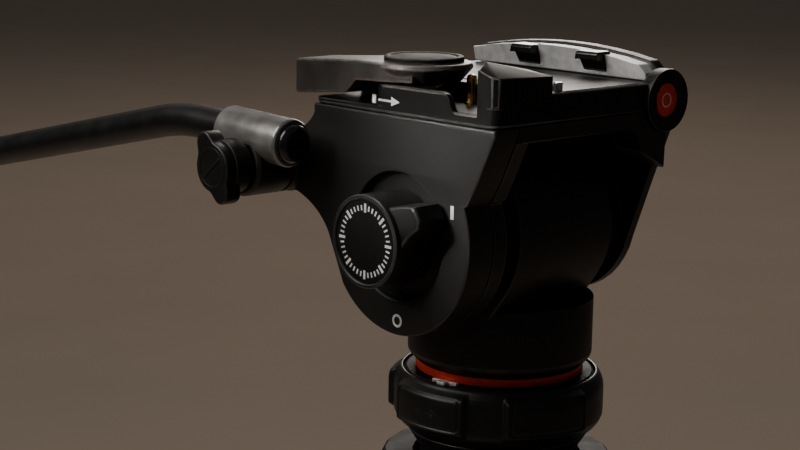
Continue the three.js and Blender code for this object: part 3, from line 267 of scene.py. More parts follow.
def make_finish(
    name, colour, spread=0.25, rough=0.5, grain_size=0.5, grain_depth=0.03, worn_and_highlit=None,
    wear_and_highlight_amount=0.5, dusty=(0.0, 0.0), metallic=0.0, coat=0.0, turned=None, mottle=8.0,
    shine=0.3,
):
    """A finish whose tone drifts, whose edges are rubbed paler with a painted highlight, and whose upper
    faces hold dust.
    """
    material = bpy.data.materials.new(name)
    material.use_nodes = True
    tree = material.node_tree
    shader = tree.nodes["Principled BSDF"]
    grains = add_node(tree, "ShaderNodeGroup", node_tree=grain)
    grains.inputs["Size"].default_value = grain_size
    grains.inputs["Mottle Size"].default_value = mottle
    tone = ramp_between(tree, grains.outputs["Tone"], 0.3, 0.7)
    dark = tuple(c * (1 - spread) for c in colour)
    pale = tuple(c * (1 + spread) for c in colour)
    shade = mix_colours(tree, tone, dark, pale)
    roughness = ramp_between(tree, grains.outputs["Tone"], 0.3, 0.7, rough - 0.04, rough + 0.04)
    # Rounded edges get a paler, smoother colour: wear, and also a painted highlight.
    if worn_and_highlit:
        rubbed_and_highlit_edge = add_node(tree, "ShaderNodeGroup", node_tree=wear_and_highlight_group)
        rubbed_and_highlit_edge.inputs["Amount"].default_value = wear_and_highlight_amount
        mask = rubbed_and_highlit_edge.outputs["Mask"]
        shade = mix_colours(tree, mask, shade, worn_and_highlit)
        roughness = add_math(tree, "SUBTRACT", roughness, add_math(tree, "MULTIPLY", mask, 0.18))
    if max(dusty) > 0:
        settled = add_node(tree, "ShaderNodeGroup", node_tree=dust)
        settled.inputs["Specks"].default_value = dusty[0]
        settled.inputs["Film"].default_value = dusty[1]
        mask = settled.outputs["Mask"]
        shade = mix_colours(tree, mask, shade, (0.30, 0.28, 0.25))
        roughness = add_math(tree, "ADD", roughness, add_math(tree, "MULTIPLY", mask, 0.3))
    tree.links.new(shade, shader.inputs["Base Color"])
    tree.links.new(roughness, shader.inputs["Roughness"])
    shader.inputs["Metallic"].default_value = metallic
    shader.inputs["Specular IOR Level"].default_value = shine
    shader.inputs["Coat Weight"].default_value = coat
    height = grains.outputs["Height"]
    if turned:
        rings = add_node(tree, "ShaderNodeGroup", node_tree=turning)
        rings.inputs["Pitch"].default_value = turned
        height = rings.outputs["Height"]
    bump = add_node(tree, "ShaderNodeBump", [("Height", height), ("Strength", 1.0)])
    bump.inputs["Distance"].default_value = grain_depth / 1000
    tree.links.new(bump.outputs["Normal"], shader.inputs["Normal"])
    return material


# %% The finishes of this tripod
# Each finish's worn colour paints its rounded edges paler: wear, and the highlight that a bevel catches.
finishes = {
    "casting": make_finish(
        "powder_coat", (0.0060, 0.0058, 0.0057), rough=0.52, grain_size=0.45, grain_depth=0.035,
        worn_and_highlit=(0.045, 0.043, 0.041), wear_and_highlight_amount=0.7, dusty=(0.25, 0.02),
    ),
    "platform": make_finish(
        "satin_black_casting", (0.0030, 0.0029, 0.0028), rough=0.42, grain_size=0.4,
        grain_depth=0.02, worn_and_highlit=(0.12, 0.115, 0.11), wear_and_highlight_amount=0.6, dusty=(0.3, 0.01), shine=0.2,
    ),
    # A darker, less shiny copy of the casting finish: painted shade for parts that sit in shadow, the
    # plate inside the collar, the crown under it and the balance knob's face.
    "shaded": make_finish(
        "shade_painted_casting", (0.0040, 0.0039, 0.0038), rough=0.6, grain_size=0.45, grain_depth=0.03,
        worn_and_highlit=(0.035, 0.034, 0.033), wear_and_highlight_amount=0.6, shine=0.08,
    ),
    "plastic": make_finish(
        "moulded_black", (0.0048, 0.0047, 0.0046), rough=0.46, grain_size=0.35,
        grain_depth=0.015, worn_and_highlit=(0.06, 0.06, 0.06), wear_and_highlight_amount=0.5, dusty=(0.2, 0.02),
    ),
    "gloss": make_finish(
        "polished_black", (0.0040, 0.0040, 0.0040), rough=0.2, grain_size=2.0, grain_depth=0.004,
        worn_and_highlit=(0.03, 0.03, 0.03), wear_and_highlight_amount=0.4, coat=0.2,
    ),
    "collar": make_finish(
        "rubbed_collar", (0.0060, 0.0060, 0.0060), rough=0.42, grain_size=0.4,
        grain_depth=0.012, worn_and_highlit=(0.05, 0.05, 0.05), wear_and_highlight_amount=0.5, dusty=(0.2, 0.03),
    ),
    "lever": make_finish(
        "warm_grey_lever", (0.046, 0.041, 0.037), rough=0.42, grain_size=0.3, grain_depth=0.012,
        worn_and_highlit=(0.20, 0.18, 0.165), wear_and_highlight_amount=0.6, dusty=(0.5, 0.10), metallic=0.35,
    ),
    "disc": make_finish(
        "brushed_disc", (0.004, 0.0034, 0.003), rough=0.6, grain_size=0.3, grain_depth=0.004,
        worn_and_highlit=(0.12, 0.105, 0.09), wear_and_highlight_amount=0.6, turned=0.35, shine=0.05,
    ),
    "anodised": make_finish(
        "dark_anodised", (0.010, 0.0097, 0.0094), rough=0.34, grain_size=0.25, grain_depth=0.005,
        worn_and_highlit=(0.09, 0.085, 0.08), wear_and_highlight_amount=0.6, dusty=(0.2, 0.02), turned=0.5,
    ),
    "satin": make_finish(
        "satin_metal", (0.24, 0.235, 0.225), rough=0.3, grain_size=0.25, grain_depth=0.008,
        worn_and_highlit=(0.10, 0.10, 0.10), wear_and_highlight_amount=0.5, dusty=(0.15, 0.02), metallic=0.6,
    ),
    "tube": make_finish(
        "satin_black_tube", (0.0060, 0.0060, 0.0062), rough=0.36, grain_size=0.3, grain_depth=0.005,
        worn_and_highlit=(0.06, 0.06, 0.06), wear_and_highlight_amount=0.4, dusty=(0.2, 0.02),
    ),
    "red": make_finish(
        "red_anodised", (0.78, 0.045, 0.018), rough=0.32, grain_size=0.3, grain_depth=0.004,
        worn_and_highlit=(0.55, 0.08, 0.04), wear_and_highlight_amount=0.5, metallic=0.35, spread=0.12,
    ),
    "jaw": make_finish(
        "cast_grey", (0.75, 0.74, 0.73), rough=0.5, grain_size=0.55, grain_depth=0.03,
        worn_and_highlit=(0.85, 0.85, 0.84), wear_and_highlight_amount=0.7, dusty=(0.3, 0.06), metallic=0.5, spread=0.18,
        mottle=3.0,
    ),
    "steel": make_finish(
        "turned_steel", (0.55, 0.56, 0.57), rough=0.28, grain_size=0.3, grain_depth=0.004,
        worn_and_highlit=(0.75, 0.75, 0.75), wear_and_highlight_amount=0.5, metallic=1.0, spread=0.08,
    ),
    "brass": make_finish(
        "turned_brass", (0.60, 0.36, 0.11), rough=0.27, grain_size=0.3, grain_depth=0.004,
        worn_and_highlit=(0.85, 0.62, 0.3), wear_and_highlight_amount=0.5, metallic=1.0, spread=0.1,
    ),
    "rubber": make_finish(
        "ribbed_rubber", (0.0060, 0.0060, 0.0060), rough=0.72, grain_size=0.5, grain_depth=0.06,
        worn_and_highlit=(0.03, 0.03, 0.03), wear_and_highlight_amount=0.5, dusty=(0.5, 0.10),
    ),
    "print": make_finish(
        "white_print", (0.62, 0.62, 0.61), rough=0.6, grain_size=0.3, grain_depth=0.01,
        spread=0.06,
    ),
    "vial": make_finish(
        "level_fluid", (0.42, 0.62, 0.05), rough=0.08, grain_size=3.0, grain_depth=0.002,
        spread=0.1, coat=1.0,
    ),
}
floor.data.materials.append(make_finish(
    "pale_floor", (0.62, 0.50, 0.40), spread=0.03, rough=0.75, grain_size=4.0, grain_depth=0.02,
    mottle=400.0,
))
print("finishes:", sorted(finishes))

# %% [markdown]
# ## Refining a casting
# The castings of the frame already have the right outline, but their edges are knife
# sharp, and a real casting's are not. A copy of the node is merged into one skin, its
# flat faces are joined, and a bevel rounds what is left. The bevel gives its own faces
# a second material, which tells afterwards which faces are edges, so that the wear and
# the painted edge highlight know where to go.

# %% Turn a CAD node into a refined piece
def link(obj):
    bpy.context.collection.objects.link(obj)
    return obj


def settle(obj, limit=math.radians(32)):
    """Smooth shading with crisp corners, and flat faces that stay flat."""
    obj.data.polygons.foreach_set("use_smooth", [True] * len(obj.data.polygons))
    obj.data.set_sharp_from_angle(angle=limit)
    return obj


def mark_edges(mesh, is_edge):
    """The mask for edge wear and painted edge highlight: 1 on the faces that are rounded edges, 0
    elsewhere.
    """
    known = mesh.attributes.get("edge")
    mask = known or mesh.attributes.new("edge", "FLOAT", "FACE")
    mask.data.foreach_set("value", [1.0 if flag else 0.0 for flag in is_edge])


def baked(obj):
    """The object's mesh with its modifiers applied, back in the same object."""
    bpy.context.view_layer.update()
    evaluated = obj.evaluated_get(bpy.context.evaluated_depsgraph_get())
    mesh = bpy.data.meshes.new_from_object(evaluated)
    obj.modifiers.clear()
    obj.data = mesh
    return obj


def rounded_edges(obj, width, segments=2, angle=30):
    """Bevels an object's corners and marks them as edges."""
    obj.data.materials.clear()
    obj.data.materials.append(None)
    obj.data.materials.append(None)
    bevel = obj.modifiers.new("bevel", "BEVEL")
    bevel.width = width / 1000
    bevel.segments = segments
    bevel.limit_method = "ANGLE"
    bevel.angle_limit = math.radians(angle)
    bevel.offset_type = "ABSOLUTE"
    bevel.use_clamp_overlap = False
    bevel.material = 1
    bevel.miter_outer = "MITER_ARC"
    baked(obj)
    flags = [face.material_index == 1 for face in obj.data.polygons]
    mark_edges(obj.data, flags)
    obj.data.polygons.foreach_set("material_index", [0] * len(flags))
    obj.data.materials.clear()
    settle(obj)
    weighted = obj.modifiers.new("weighted", "WEIGHTED_NORMAL")
    weighted.keep_sharp = True
    return baked(obj)


def merged_copy(node, weld=0.02):
    """A copy of a CAD node's mesh: one skin, with flat faces joined. weld is in mm."""
    shape = bmesh.new()
    shape.from_mesh(frame["nodes"][node].data)
    bmesh.ops.remove_doubles(shape, verts=shape.verts, dist=weld / 1000)
    bmesh.ops.dissolve_degenerate(shape, edges=shape.edges, dist=1e-5)
    bmesh.ops.dissolve_limit(
        shape, angle_limit=math.radians(1.5), verts=shape.verts, edges=shape.edges,
        use_dissolve_boundaries=False, delimit=set(),
    )
    mesh = bpy.data.meshes.new(node + "_looks")
    shape.to_mesh(mesh)
    shape.free()
    return link(bpy.data.objects.new(node + "_looks", mesh))


def dress(obj, finish, body, *nodes):
    """Gives a piece its finish, its body and the CAD nodes that it stands for."""
    obj.data.materials.clear()
    obj.data.materials.append(finishes[finish])
    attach(obj, body)
    if nodes:
        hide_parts(*nodes)
    return obj


def excess(piece, node):
    """How far a piece reaches outside its node's box, in mm."""
    low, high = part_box(node)
    reach = 0.0
    for vertex in piece.data.vertices:
        for value, least, most in zip(vertex.co, low, high):
            reach = max(reach, least - value, value - most)
    return round(reach * 1000, 2)


def refine(node, width, finish, body, segments=2, angle=30, weld=0.02):
    piece = rounded_edges(merged_copy(node, weld), width, segments, angle)
    print(node, "reaches", excess(piece, node), "mm outside its box")
    return dress(piece, finish, body, node)


# %% The castings of the cradle
for node, width, finish in (
    ("tilt_frame", 0.6, "casting"), ("platform", 0.5, "platform"),
    ("far_jaw", 0.5, "jaw"), ("jaw_tab_front", 0.6, "gloss"), ("jaw_tab_rear", 0.6, "gloss"),
):
    piece = refine(node, width, finish, "cradle", 3)
    print(piece.name, len(piece.data.polygons), "faces")

# %% [markdown]
# ## Round parts
# Rings, knobs, tubes and screws are turned shapes. Their half outline is spun about an
# axis, with every corner eased by a small curve, because it is that curve that catches
# the light. A second coordinate runs along the outline, which turning marks follow.

# %% Places and directions on the head
def upright(x=0, y=0, z=0):
    """Local Z is up: for pieces about the pan axis or parallel to it."""
    return Matrix.Translation(on_head(x, y, z))


def across(y, z, x=0):
    """Local X, Y and Z are the head's Y, Z and X: for pieces about a sideways axis."""
    turn = Matrix(((0, 0, 1), (1, 0, 0), (0, 1, 0))).to_4x4()
    return Matrix.Translation(on_head(x, y, z)) @ turn


def lengthways(x, z, y=0):
    """Local X, Y and Z are the head's Z, X and Y: for pieces about a front-to-rear axis."""
    turn = Matrix(((0, 1, 0), (0, 0, 1), (1, 0, 0))).to_4x4()
    return Matrix.Translation(on_head(x, y, z)) @ turn


def aimed(start, end):
    """Local Z runs from start towards end, both in metres."""
    direction = (Vector(end) - Vector(start)).normalized()
    return Matrix.Translation(start) @ direction.to_track_quat("Z", "Y").to_matrix().to_4x4()


# %% Ease the corners of an outline
def eased(points, default, closed=True, steps=3):
    """Points with each corner replaced by a short curve, and which stretches are curves."""
    count = len(points)
    out, curved = [], []
    for i, point in enumerate(points):
        here = Vector(point[:2])
        radius = point[2] if len(point) > 2 else default
        if radius == 0 or (not closed and i in (0, count - 1)):
            out.append(tuple(here))
            curved.append(False)
            continue
        before = Vector(points[i - 1][:2]) - here
        after = Vector(points[(i + 1) % count][:2]) - here
        reach = min(radius, 0.45 * before.length, 0.45 * after.length)
        start = here + before.normalized() * reach
        end = here + after.normalized() * reach
        for step in range(steps + 1):
            t = step / steps
            out.append(tuple((1 - t) ** 2 * start + 2 * t * (1 - t) * here + t * t * end))
            curved.append(step < steps)
    return out, curved


# %% Spin an outline about an axis
def new_piece(name, shape, faces_are_edges, where):
    """Makes an object of a bmesh in millimetres, its faces turned outwards."""
    bmesh.ops.recalc_face_normals(shape, faces=shape.faces)
    mesh = bpy.data.meshes.new(name)
    shape.to_mesh(mesh)
    shape.free()
    mark_edges(mesh, faces_are_edges)
    mesh.transform(where @ Matrix.Scale(0.001, 4))
    return settle(link(bpy.data.objects.new(name, mesh)))


def spun(name, profile, where, steps=96, ease=0.3, closed=True):
    """A turned piece: profile holds (radius, height) or (radius, height, easing) in mm."""
    points, curved = eased(profile, ease, closed)
    shape = bmesh.new()
    along = shape.loops.layers.uv.new("turned")
    rings = []
    for radius, height in points:
        if radius < 1e-6:
            rings.append([shape.verts.new((0, 0, height))])
            continue
        angles = [2 * math.pi * i / steps for i in range(steps)]
        ring = [(radius * math.cos(a), radius * math.sin(a), height) for a in angles]
        rings.append([shape.verts.new(place) for place in ring])
    flags, travelled = [], 0.0
    for number in range(len(points) if closed else len(points) - 1):
        low, high = rings[number], rings[(number + 1) % len(points)]
        ahead = points[(number + 1) % len(points)]
        length = math.dist(points[number], ahead) / 1000
        if len(low) == 1 and len(high) == 1:
            continue
        for i in range(steps):
            j = (i + 1) % steps
            corners = [
                low[i % len(low)], low[j % len(low)], high[j % len(high)], high[i % len(high)],
            ]
            corners = list(dict.fromkeys(corners))
            face = shape.faces.new(corners)
            for loop in face.loops:
                outer = loop.vert in high
                loop[along].uv = (i / steps, travelled + (length if outer else 0))
            flags.append(curved[number])
        travelled += length
    return new_piece(name, shape, flags, where)


def merged(name, *objects):
    """Several meshes as one object, each still a closed body of its own."""
    shape = bmesh.new()
    for obj in objects:
        shape.from_mesh(obj.data)
    mesh = bpy.data.meshes.new(name)
    shape.to_mesh(mesh)
    shape.free()
    for obj in objects:
        bpy.data.objects.remove(obj)
    return settle(link(bpy.data.objects.new(name, mesh)))


# %% [markdown]
# ## Plates with holes
# A cover or a printed mark is a flat outline with a thickness. A filled Blender curve
# makes this well: it takes holes, and its bevel rounds the outline and the holes alike.
# The negative offset keeps the rounded plate inside its outline.

# %% Cut a plate from outlines
def arc(x, y, radius, start, end, steps=48):
    angles = [math.radians(start + (end - start) * i / steps) for i in range(steps + 1)]
    return [(x + radius * math.cos(a), y + radius * math.sin(a)) for a in angles]


def bend(start, control, end, steps=12):
    shares = [i / steps for i in range(1, steps + 1)]
    return [
        tuple((1 - t) ** 2 * a + 2 * t * (1 - t) * b + t * t * c for a, b, c in zip(start, control, end))
        for t in shares
    ]


def plate(name, outlines, low, high, where, bevel=0.4, rounds=2):
    """A plate in mm: the first outline is its edge, the others are holes."""
    curve = bpy.data.curves.new(name, "CURVE")
    curve.dimensions = "2D"
    curve.fill_mode = "BOTH"
    curve.extrude = max((high - low) / 2 - bevel, 1e-4)
    curve.bevel_depth = bevel
    curve.bevel_resolution = rounds
    curve.offset = -bevel
    for outline in outlines:
        spline = curve.splines.new("POLY")
        spline.points.add(len(outline) - 1)
        spline.use_cyclic_u = True
        for point, (x, y) in zip(spline.points, outline):
            point.co = (x, y, 0, 1)
    drawn = link(bpy.data.objects.new(name, curve))
    bpy.context.view_layer.update()
    graph = bpy.context.evaluated_depsgraph_get()
    solid = bpy.data.meshes.new_from_object(drawn.evaluated_get(graph))
    bpy.data.objects.remove(drawn)
    shape = bmesh.new()
    shape.from_mesh(solid)
    bmesh.ops.remove_doubles(shape, verts=shape.verts, dist=1e-4)
    for vertex in shape.verts:
        vertex.co.z += (low + high) / 2
    shape.normal_update()
    flags = [0.05 < abs(face.normal.z) < 0.98 for face in shape.faces]
    return new_piece(name, shape, flags, where)


# %% [markdown]
# ## Repeated details
# Teeth, ribs, ticks and screws repeat, so Geometry Nodes place them. Three small trees
# are enough: blocks round a circle, rings along a line, and one object set on chosen
# points, each pointing its own way. Every tree has named sizes and ends as real mesh.

# %% Helpers for node trees
def new_tree(name, sizes):
    tree = bpy.data.node_groups.new(name, "GeometryNodeTree")
    tree.interface.new_socket("Geometry", in_out="INPUT", socket_type="NodeSocketGeometry")
    for label, kind, value in sizes:
        socket = tree.interface.new_socket(label, in_out="INPUT", socket_type="NodeSocket" + kind)
        if value is not None:
            socket.default_value = value
    tree.interface.new_socket("Geometry", in_out="OUTPUT", socket_type="NodeSocketGeometry")
    return tree, tree.nodes.new("NodeGroupInput"), tree.nodes.new("NodeGroupOutput")


def finish_tree(tree, sizes, result, outgoing):
    """Realizes the instances and gives them the tree's material."""
    real = add_node(tree, "GeometryNodeRealizeInstances", [("Geometry", result)])
    painted = add_node(
        tree, "GeometryNodeSetMaterial",
        [("Geometry", real.outputs[0]), ("Material", sizes.outputs["Material"])],
    )
    tree.links.new(painted.outputs[0], outgoing.inputs[0])


def grow(name, tree, values, start=None):
    """Runs a tree on a mesh, or on nothing, and keeps what it makes as a plain mesh."""
    obj = link(bpy.data.objects.new(name, start or bpy.data.meshes.new(name)))
    modifier = obj.modifiers.new("grow", "NODES")
    modifier.node_group = tree
    for item in tree.interface.items_tree:
        if item.item_type == "SOCKET" and item.in_out == "INPUT" and item.name in values:
            modifier[item.identifier] = values[item.name]
    baked(obj)
    if "edge" not in obj.data.attributes:
        mark_edges(obj.data, [False] * len(obj.data.polygons))
    return settle(obj)


# %% Blocks round a circle
blocks_tree, sizes, outgoing = new_tree("blocks_round_a_circle", [
    ("Count", "Int", 24), ("Radius", "Float", 0.01), ("Depth", "Float", 0.001),
    ("Width", "Float", 0.001), ("Length", "Float", 0.004), ("Turn", "Float", 0.0),
    ("Material", "Material", None),
])
circle = add_node(blocks_tree, "GeometryNodeMeshCircle", [
    ("Vertices", sizes.outputs["Count"]), ("Radius", sizes.outputs["Radius"]),
])
block_size = add_node(blocks_tree, "ShaderNodeCombineXYZ", [
    (0, sizes.outputs["Depth"]), (1, sizes.outputs["Width"]), (2, sizes.outputs["Length"]),
])
block = add_node(blocks_tree, "GeometryNodeMeshCube", [("Size", block_size.outputs[0])])
block_turn = add_node(blocks_tree, "ShaderNodeCombineXYZ", [(2, sizes.outputs["Turn"])])
turned_block = add_node(blocks_tree, "GeometryNodeTransform", [
    ("Geometry", block.outputs[0]), ("Rotation", block_turn.outputs[0]),
])
outwards = add_node(blocks_tree, "GeometryNodeInputPosition").outputs[0]
facing_out = add_node(
    blocks_tree, "FunctionNodeAlignRotationToVector", [("Vector", outwards)], axis="X",
    pivot_axis="Z",
)
placed = add_node(blocks_tree, "GeometryNodeInstanceOnPoints", [
    ("Points", circle.outputs[0]), ("Instance", turned_block.outputs[0]),
    ("Rotation", facing_out.outputs[0]),
])
finish_tree(blocks_tree, sizes, placed.outputs[0], outgoing)

# %% Rings along a line
rings_tree, sizes, outgoing = new_tree("rings_along_a_line", [
    ("Count", "Int", 12), ("Spacing", "Float", 0.004), ("Radius", "Float", 0.012),
    ("Thickness", "Float", 0.001), ("Material", "Material", None),
])
step = add_node(rings_tree, "ShaderNodeCombineXYZ", [(2, sizes.outputs["Spacing"])])
line = add_node(rings_tree, "GeometryNodeMeshLine", [
    ("Count", sizes.outputs["Count"]), ("Offset", step.outputs[0]),
])
hoop = add_node(rings_tree, "GeometryNodeCurvePrimitiveCircle", [
    ("Resolution", 56), ("Radius", sizes.outputs["Radius"]),
])
cross_section = add_node(rings_tree, "GeometryNodeCurvePrimitiveCircle", [
    ("Resolution", 8), ("Radius", sizes.outputs["Thickness"]),
])
ring_solid = add_node(rings_tree, "GeometryNodeCurveToMesh", [
    ("Curve", hoop.outputs[0]), ("Profile Curve", cross_section.outputs[0]),
])
placed = add_node(rings_tree, "GeometryNodeInstanceOnPoints", [
    ("Points", line.outputs[0]), ("Instance", ring_solid.outputs[0]),
])
finish_tree(rings_tree, sizes, placed.outputs[0], outgoing)

# %% One object on chosen points
screws_tree, sizes, outgoing = new_tree("screws_on_points", [
    ("Screw", "Object", None), ("Size", "Float", 1.0), ("Material", "Material", None),
])
screw_shape = add_node(screws_tree, "GeometryNodeObjectInfo", [("Object", sizes.outputs["Screw"])])
aim = add_node(screws_tree, "GeometryNodeInputNamedAttribute", [("Name", "facing")])
aim.data_type = "FLOAT_VECTOR"
facing_point = add_node(
    screws_tree, "FunctionNodeAlignRotationToVector", [("Vector", aim.outputs["Attribute"])],
    axis="Z",
)
placed = add_node(screws_tree, "GeometryNodeInstanceOnPoints", [
    ("Points", sizes.id_data.nodes["Group Input"].outputs["Geometry"]),
    ("Instance", screw_shape.outputs["Geometry"]), ("Rotation", facing_point.outputs[0]),
    ("Scale", sizes.outputs["Size"]),
])
finish_tree(screws_tree, sizes, placed.outputs[0], outgoing)

# %% The socket screw that the points carry
def socket_screw(radius=2.2, height=2.0, key=1.15, sides=24):
    """A cap screw: a round head with a six-sided hole, its seat at the origin."""
    def circle_points(r):
        return [(r * math.cos(2 * math.pi * i / sides), r * math.sin(2 * math.pi * i / sides))
                for i in range(sides)]

    def hexagon_points(r):
        out = []
        for i in range(sides):
            angle = 2 * math.pi * i / sides
            flat = r * math.cos(math.pi / 6) / math.cos(angle % (math.pi / 3) - math.pi / 6)
            out.append((flat * math.cos(angle), flat * math.sin(angle)))
        return out

    stack = [
        (circle_points(radius), 0, False), (circle_points(radius), height - 0.25, False),
        (circle_points(radius - 0.25), height, True), (hexagon_points(key + 0.1), height, False),
        (hexagon_points(key), height - 0.1, True), (hexagon_points(key), height - 1.1, False),
    ]
    shape = bmesh.new()
    rings = [[shape.verts.new((x, y, z)) for x, y in points] for points, z, _ in stack]
    flags = []
    for (low, high), (_, _, rounded) in zip(zip(rings, rings[1:]), stack[1:]):
        for i in range(sides):
            shape.faces.new([low[i], low[(i + 1) % sides], high[(i + 1) % sides], high[i]])
            flags.append(rounded)
    shape.faces.new(rings[0][::-1])
    shape.faces.new(rings[-1])
    return new_piece("socket_screw", shape, flags + [False, False], Matrix.Identity(4))


screw_model = socket_screw()


def screws(name, spots, size=1.0, finish="steel"):
    """Screws on points: spots holds (place in metres, direction)."""
    mesh = bpy.data.meshes.new(name)
    mesh.from_pydata([tuple(place) for place, _ in spots], [], [])
    facing_way = mesh.attributes.new("facing", "FLOAT_VECTOR", "POINT")
    for item, (_, direction) in zip(facing_way.data, spots):
        item.vector = direction
    return grow(name, screws_tree, {
        "Screw": screw_model, "Size": size, "Material": finishes[finish],
    }, mesh)


def blocks(name, where, count, radius, depth, width, length, finish, turn=0.0):
    """Blocks round an axis, sizes in mm: teeth, knurls, ribs and ticks."""
    made = grow(name, blocks_tree, {
        "Count": count, "Radius": radius / 1000, "Depth": depth / 1000, "Width": width / 1000,
        "Length": length / 1000, "Turn": math.radians(turn), "Material": finishes[finish],
    })
    made.data.transform(where)
    return made


def hoops(name, where, count, spacing, radius, thickness, finish):
    """Round ribs in a row along an axis, sizes in mm."""
    made = grow(name, rings_tree, {
        "Count": count, "Spacing": spacing / 1000, "Radius": radius / 1000,
        "Thickness": thickness / 1000, "Material": finishes[finish],
    })
    made.data.transform(where)
    return made


print("trees:", [tree.name for tree in bpy.data.node_groups if tree.bl_idname == "GeometryNodeTree"])

# %% [markdown]
# ## Side cover
# The cover on the operator's side is the largest face of the head. It is a flat casting
# with a long smooth outline: a disc about the tilt axis, widening to the deck in front
# and to the pan bar's joint at the rear, with a round recess for the balance knob.

# %% Side cover with its recess and bar joint
tilt_z = 50.8
side_x = -51.9
seam_x = -40.5
joint_y, joint_z, joint_radius = 57.6, 69.6, 11.5
cover_outline = (
    [(-44, 91.1), (-44, 89.1), (-36.2, 72.1), (-32.6, 65.5)]
    + arc(0, tilt_z, 34, 156, 322, 90)
    + [(34.6, 46.5)] + bend((34.6, 46.5), (40, 55.5), (52.74, 59.18))
    + arc(joint_y, joint_z, joint_radius, -115, 115, 60)
    + bend((52.74, 80.02), (44.6, 84), (42.6, 88.1)) + [(42.6, 91.1)]
)
recess_floor = side_x + 3.5
cover_front = plate(
    "cover_front", [cover_outline, arc(0, tilt_z, 21.8, 0, 355, 95)], side_x, seam_x,
    across(0, 0), bevel=0.7, rounds=3,
)
inner_outline = [(y * 0.985, tilt_z + (z - tilt_z) * 0.985) for y, z in cover_outline]
cover_back = plate(
    "cover_back", [inner_outline, arc(0, tilt_z, 6.3, 0, 350, 36)], recess_floor, seam_x - 0.2,
    across(0, 0), bevel=0.1,
)
joint_boss = spun(
    "joint_boss",
    [(2.8, seam_x - 1), (11.2, seam_x - 1), (11.2, -56.0, 0.5), (9.6, -56.0, 0.2),
     (9.6, -55.6, 0.2), (2.8, -55.6, 0.2)],
    across(joint_y, joint_z), ease=0.2,
)
side_cover = merged("side_cover_looks", cover_front, cover_back, joint_boss)
dress(side_cover, "casting", "cradle", "side_cover")
print("side cover:", len(side_cover.data.polygons), "faces")

# %% [markdown]
# ## Counterbalance knob
# A round knob with one finger lobe on its side. The round part stands proud of the lobe
# and has a thin bright rim. Its face carries a ring of plain graduations, and the cover
# beside it has the usual bar for on and ring for off.

# %% Knob body, lobe and face
knob_face = -66.6
lobe_outline = (
    arc(0, tilt_z, 15.2, 184, 486, 80)
    + bend((-8.93, 63.1), (-15, 65.0), (-21.4, 65.1)) + [(-23.9, 60.9), (-23.2, 57.9)]
    + bend((-23.2, 57.9), (-18, 54.8), (-15.16, 49.74))
)
knob_round = spun(
    "knob_round",
    [(14.1, knob_face + 2.6, 0.1), (14.1, knob_face + 0.5, 0.2), (14.5, knob_face, 0.25),
     (15.7, knob_face, 0.7), (15.7, recess_floor - 0.4, 0.2), (6, recess_floor - 0.4, 0.2),
     (6, knob_face + 2.6, 0.1)],
    across(0, tilt_z), steps=128,
)
knob_lobe = plate("knob_lobe", [lobe_outline], knob_face + 1.9, side_x - 0.8, across(0, 0), 1.1, 3)
knob = merged("balance_knob_looks", knob_round, knob_lobe)
dress(knob, "plastic", "balance_knob", "counterbalance_knob")
knob_cap = spun(
    "balance_cap_looks",
    [(0, knob_face + 2.4), (13.9, knob_face + 2.4, 0.1), (13.9, knob_face + 0.55, 0.25),
     (0, knob_face + 0.55)],
    across(0, tilt_z), steps=128, closed=False,
)
# The knob's face takes the darker casting finish, as painted shade.
dress(knob_cap, "shaded", "balance_knob", "counterbalance_cap")

# %% Graduations on the face, and the two marks on the cover
graduations = blocks(
    "balance_graduations", across(0, tilt_z, knob_face + 0.53), 40, 11.2, 1.7, 0.55, 0.12, "print",
)
dress(graduations, "print", "balance_knob")
long_marks = blocks(
    "balance_long_marks", across(0, tilt_z, knob_face + 0.54), 8, 11.2, 2.9, 0.9, 0.12, "print",
)
dress(long_marks, "print", "balance_knob")
mark_sunk, mark_proud = 0.06, 0.1
marks = {
    "on_mark": [[(-25.3, 60.4), (-26.7, 60.4), (-26.7, 64.8), (-25.3, 64.8)]],
    "off_mark": [arc(-1.1, 21.9, 2.3, 0, 350, 35), arc(-1.1, 21.9, 1.45, 0, 350, 35)],
    "unlock_arrow": [[(12.6, 94.3), (10.8, 94.3), (10.8, 97.1), (12.6, 97.1)]],
    "unlock_arrow_shaft": [[
        (9.6, 95.3), (9.6, 96.0), (3.4, 96.0), (3.4, 97.2), (-0.6, 95.65), (3.4, 94.1),
        (3.4, 95.3),
    ]],
}
for name, outlines in marks.items():
    mark = plate(name, outlines, side_x - mark_sunk, side_x + mark_proud, across(0, 0), 0.02)
    dress(mark, "print", "cradle")
print("marks:", graduations.name, long_marks.name, *marks)

# %% [markdown]
# ## Pan base
# The turning housing is a black cup with a thin upstanding rim, and a short drum lies
# across it to carry the tilt axle. Under it the red ring marks the joint that pans.

# %% Cup, drum and red ring
cup = spun(
    "cup",
    [(0, 17.3), (8.3, 17.3), (8.3, 10), (24, 10), (24, 0.6), (30.4, 0.6, 0.4), (32.9, 3.2, 1.2),
     (32.9, 24, 0.35), (31.4, 24, 0.35), (31.2, 22.5, 0.5), (0, 22.5)],
    upright(), steps=144, closed=False,
)
drum_low, drum_high = -26.6, 19.7
drum_outline = arc(0, tilt_z, 33.2, -36.2, 216.2, 120) + [(-19.6, 21.5), (19.6, 21.5)]
drum_body = plate(
    "drum_body", [drum_outline, arc(0, tilt_z, 22.3, 0, 352, 44)], drum_low, drum_high,
    across(0, 0), 0.6, 3,
)
drum_wall = spun(
    "drum_wall", [(8, drum_low + 0.1), (22.5, drum_low + 0.1), (22.5, -18.6), (8, -18.6)],
    across(0, tilt_z),
)
housing = merged("pan_housing_looks", cup, drum_body, drum_wall)
dress(housing, "casting", "pan", "pan_housing")
red_ring = spun(
    "base_ring_looks", [(26, -3), (30, -3, 0.5), (30, 0, 0.5), (26, 0)], upright(), steps=144,
)
dress(red_ring, "red", "base", "base_ring")
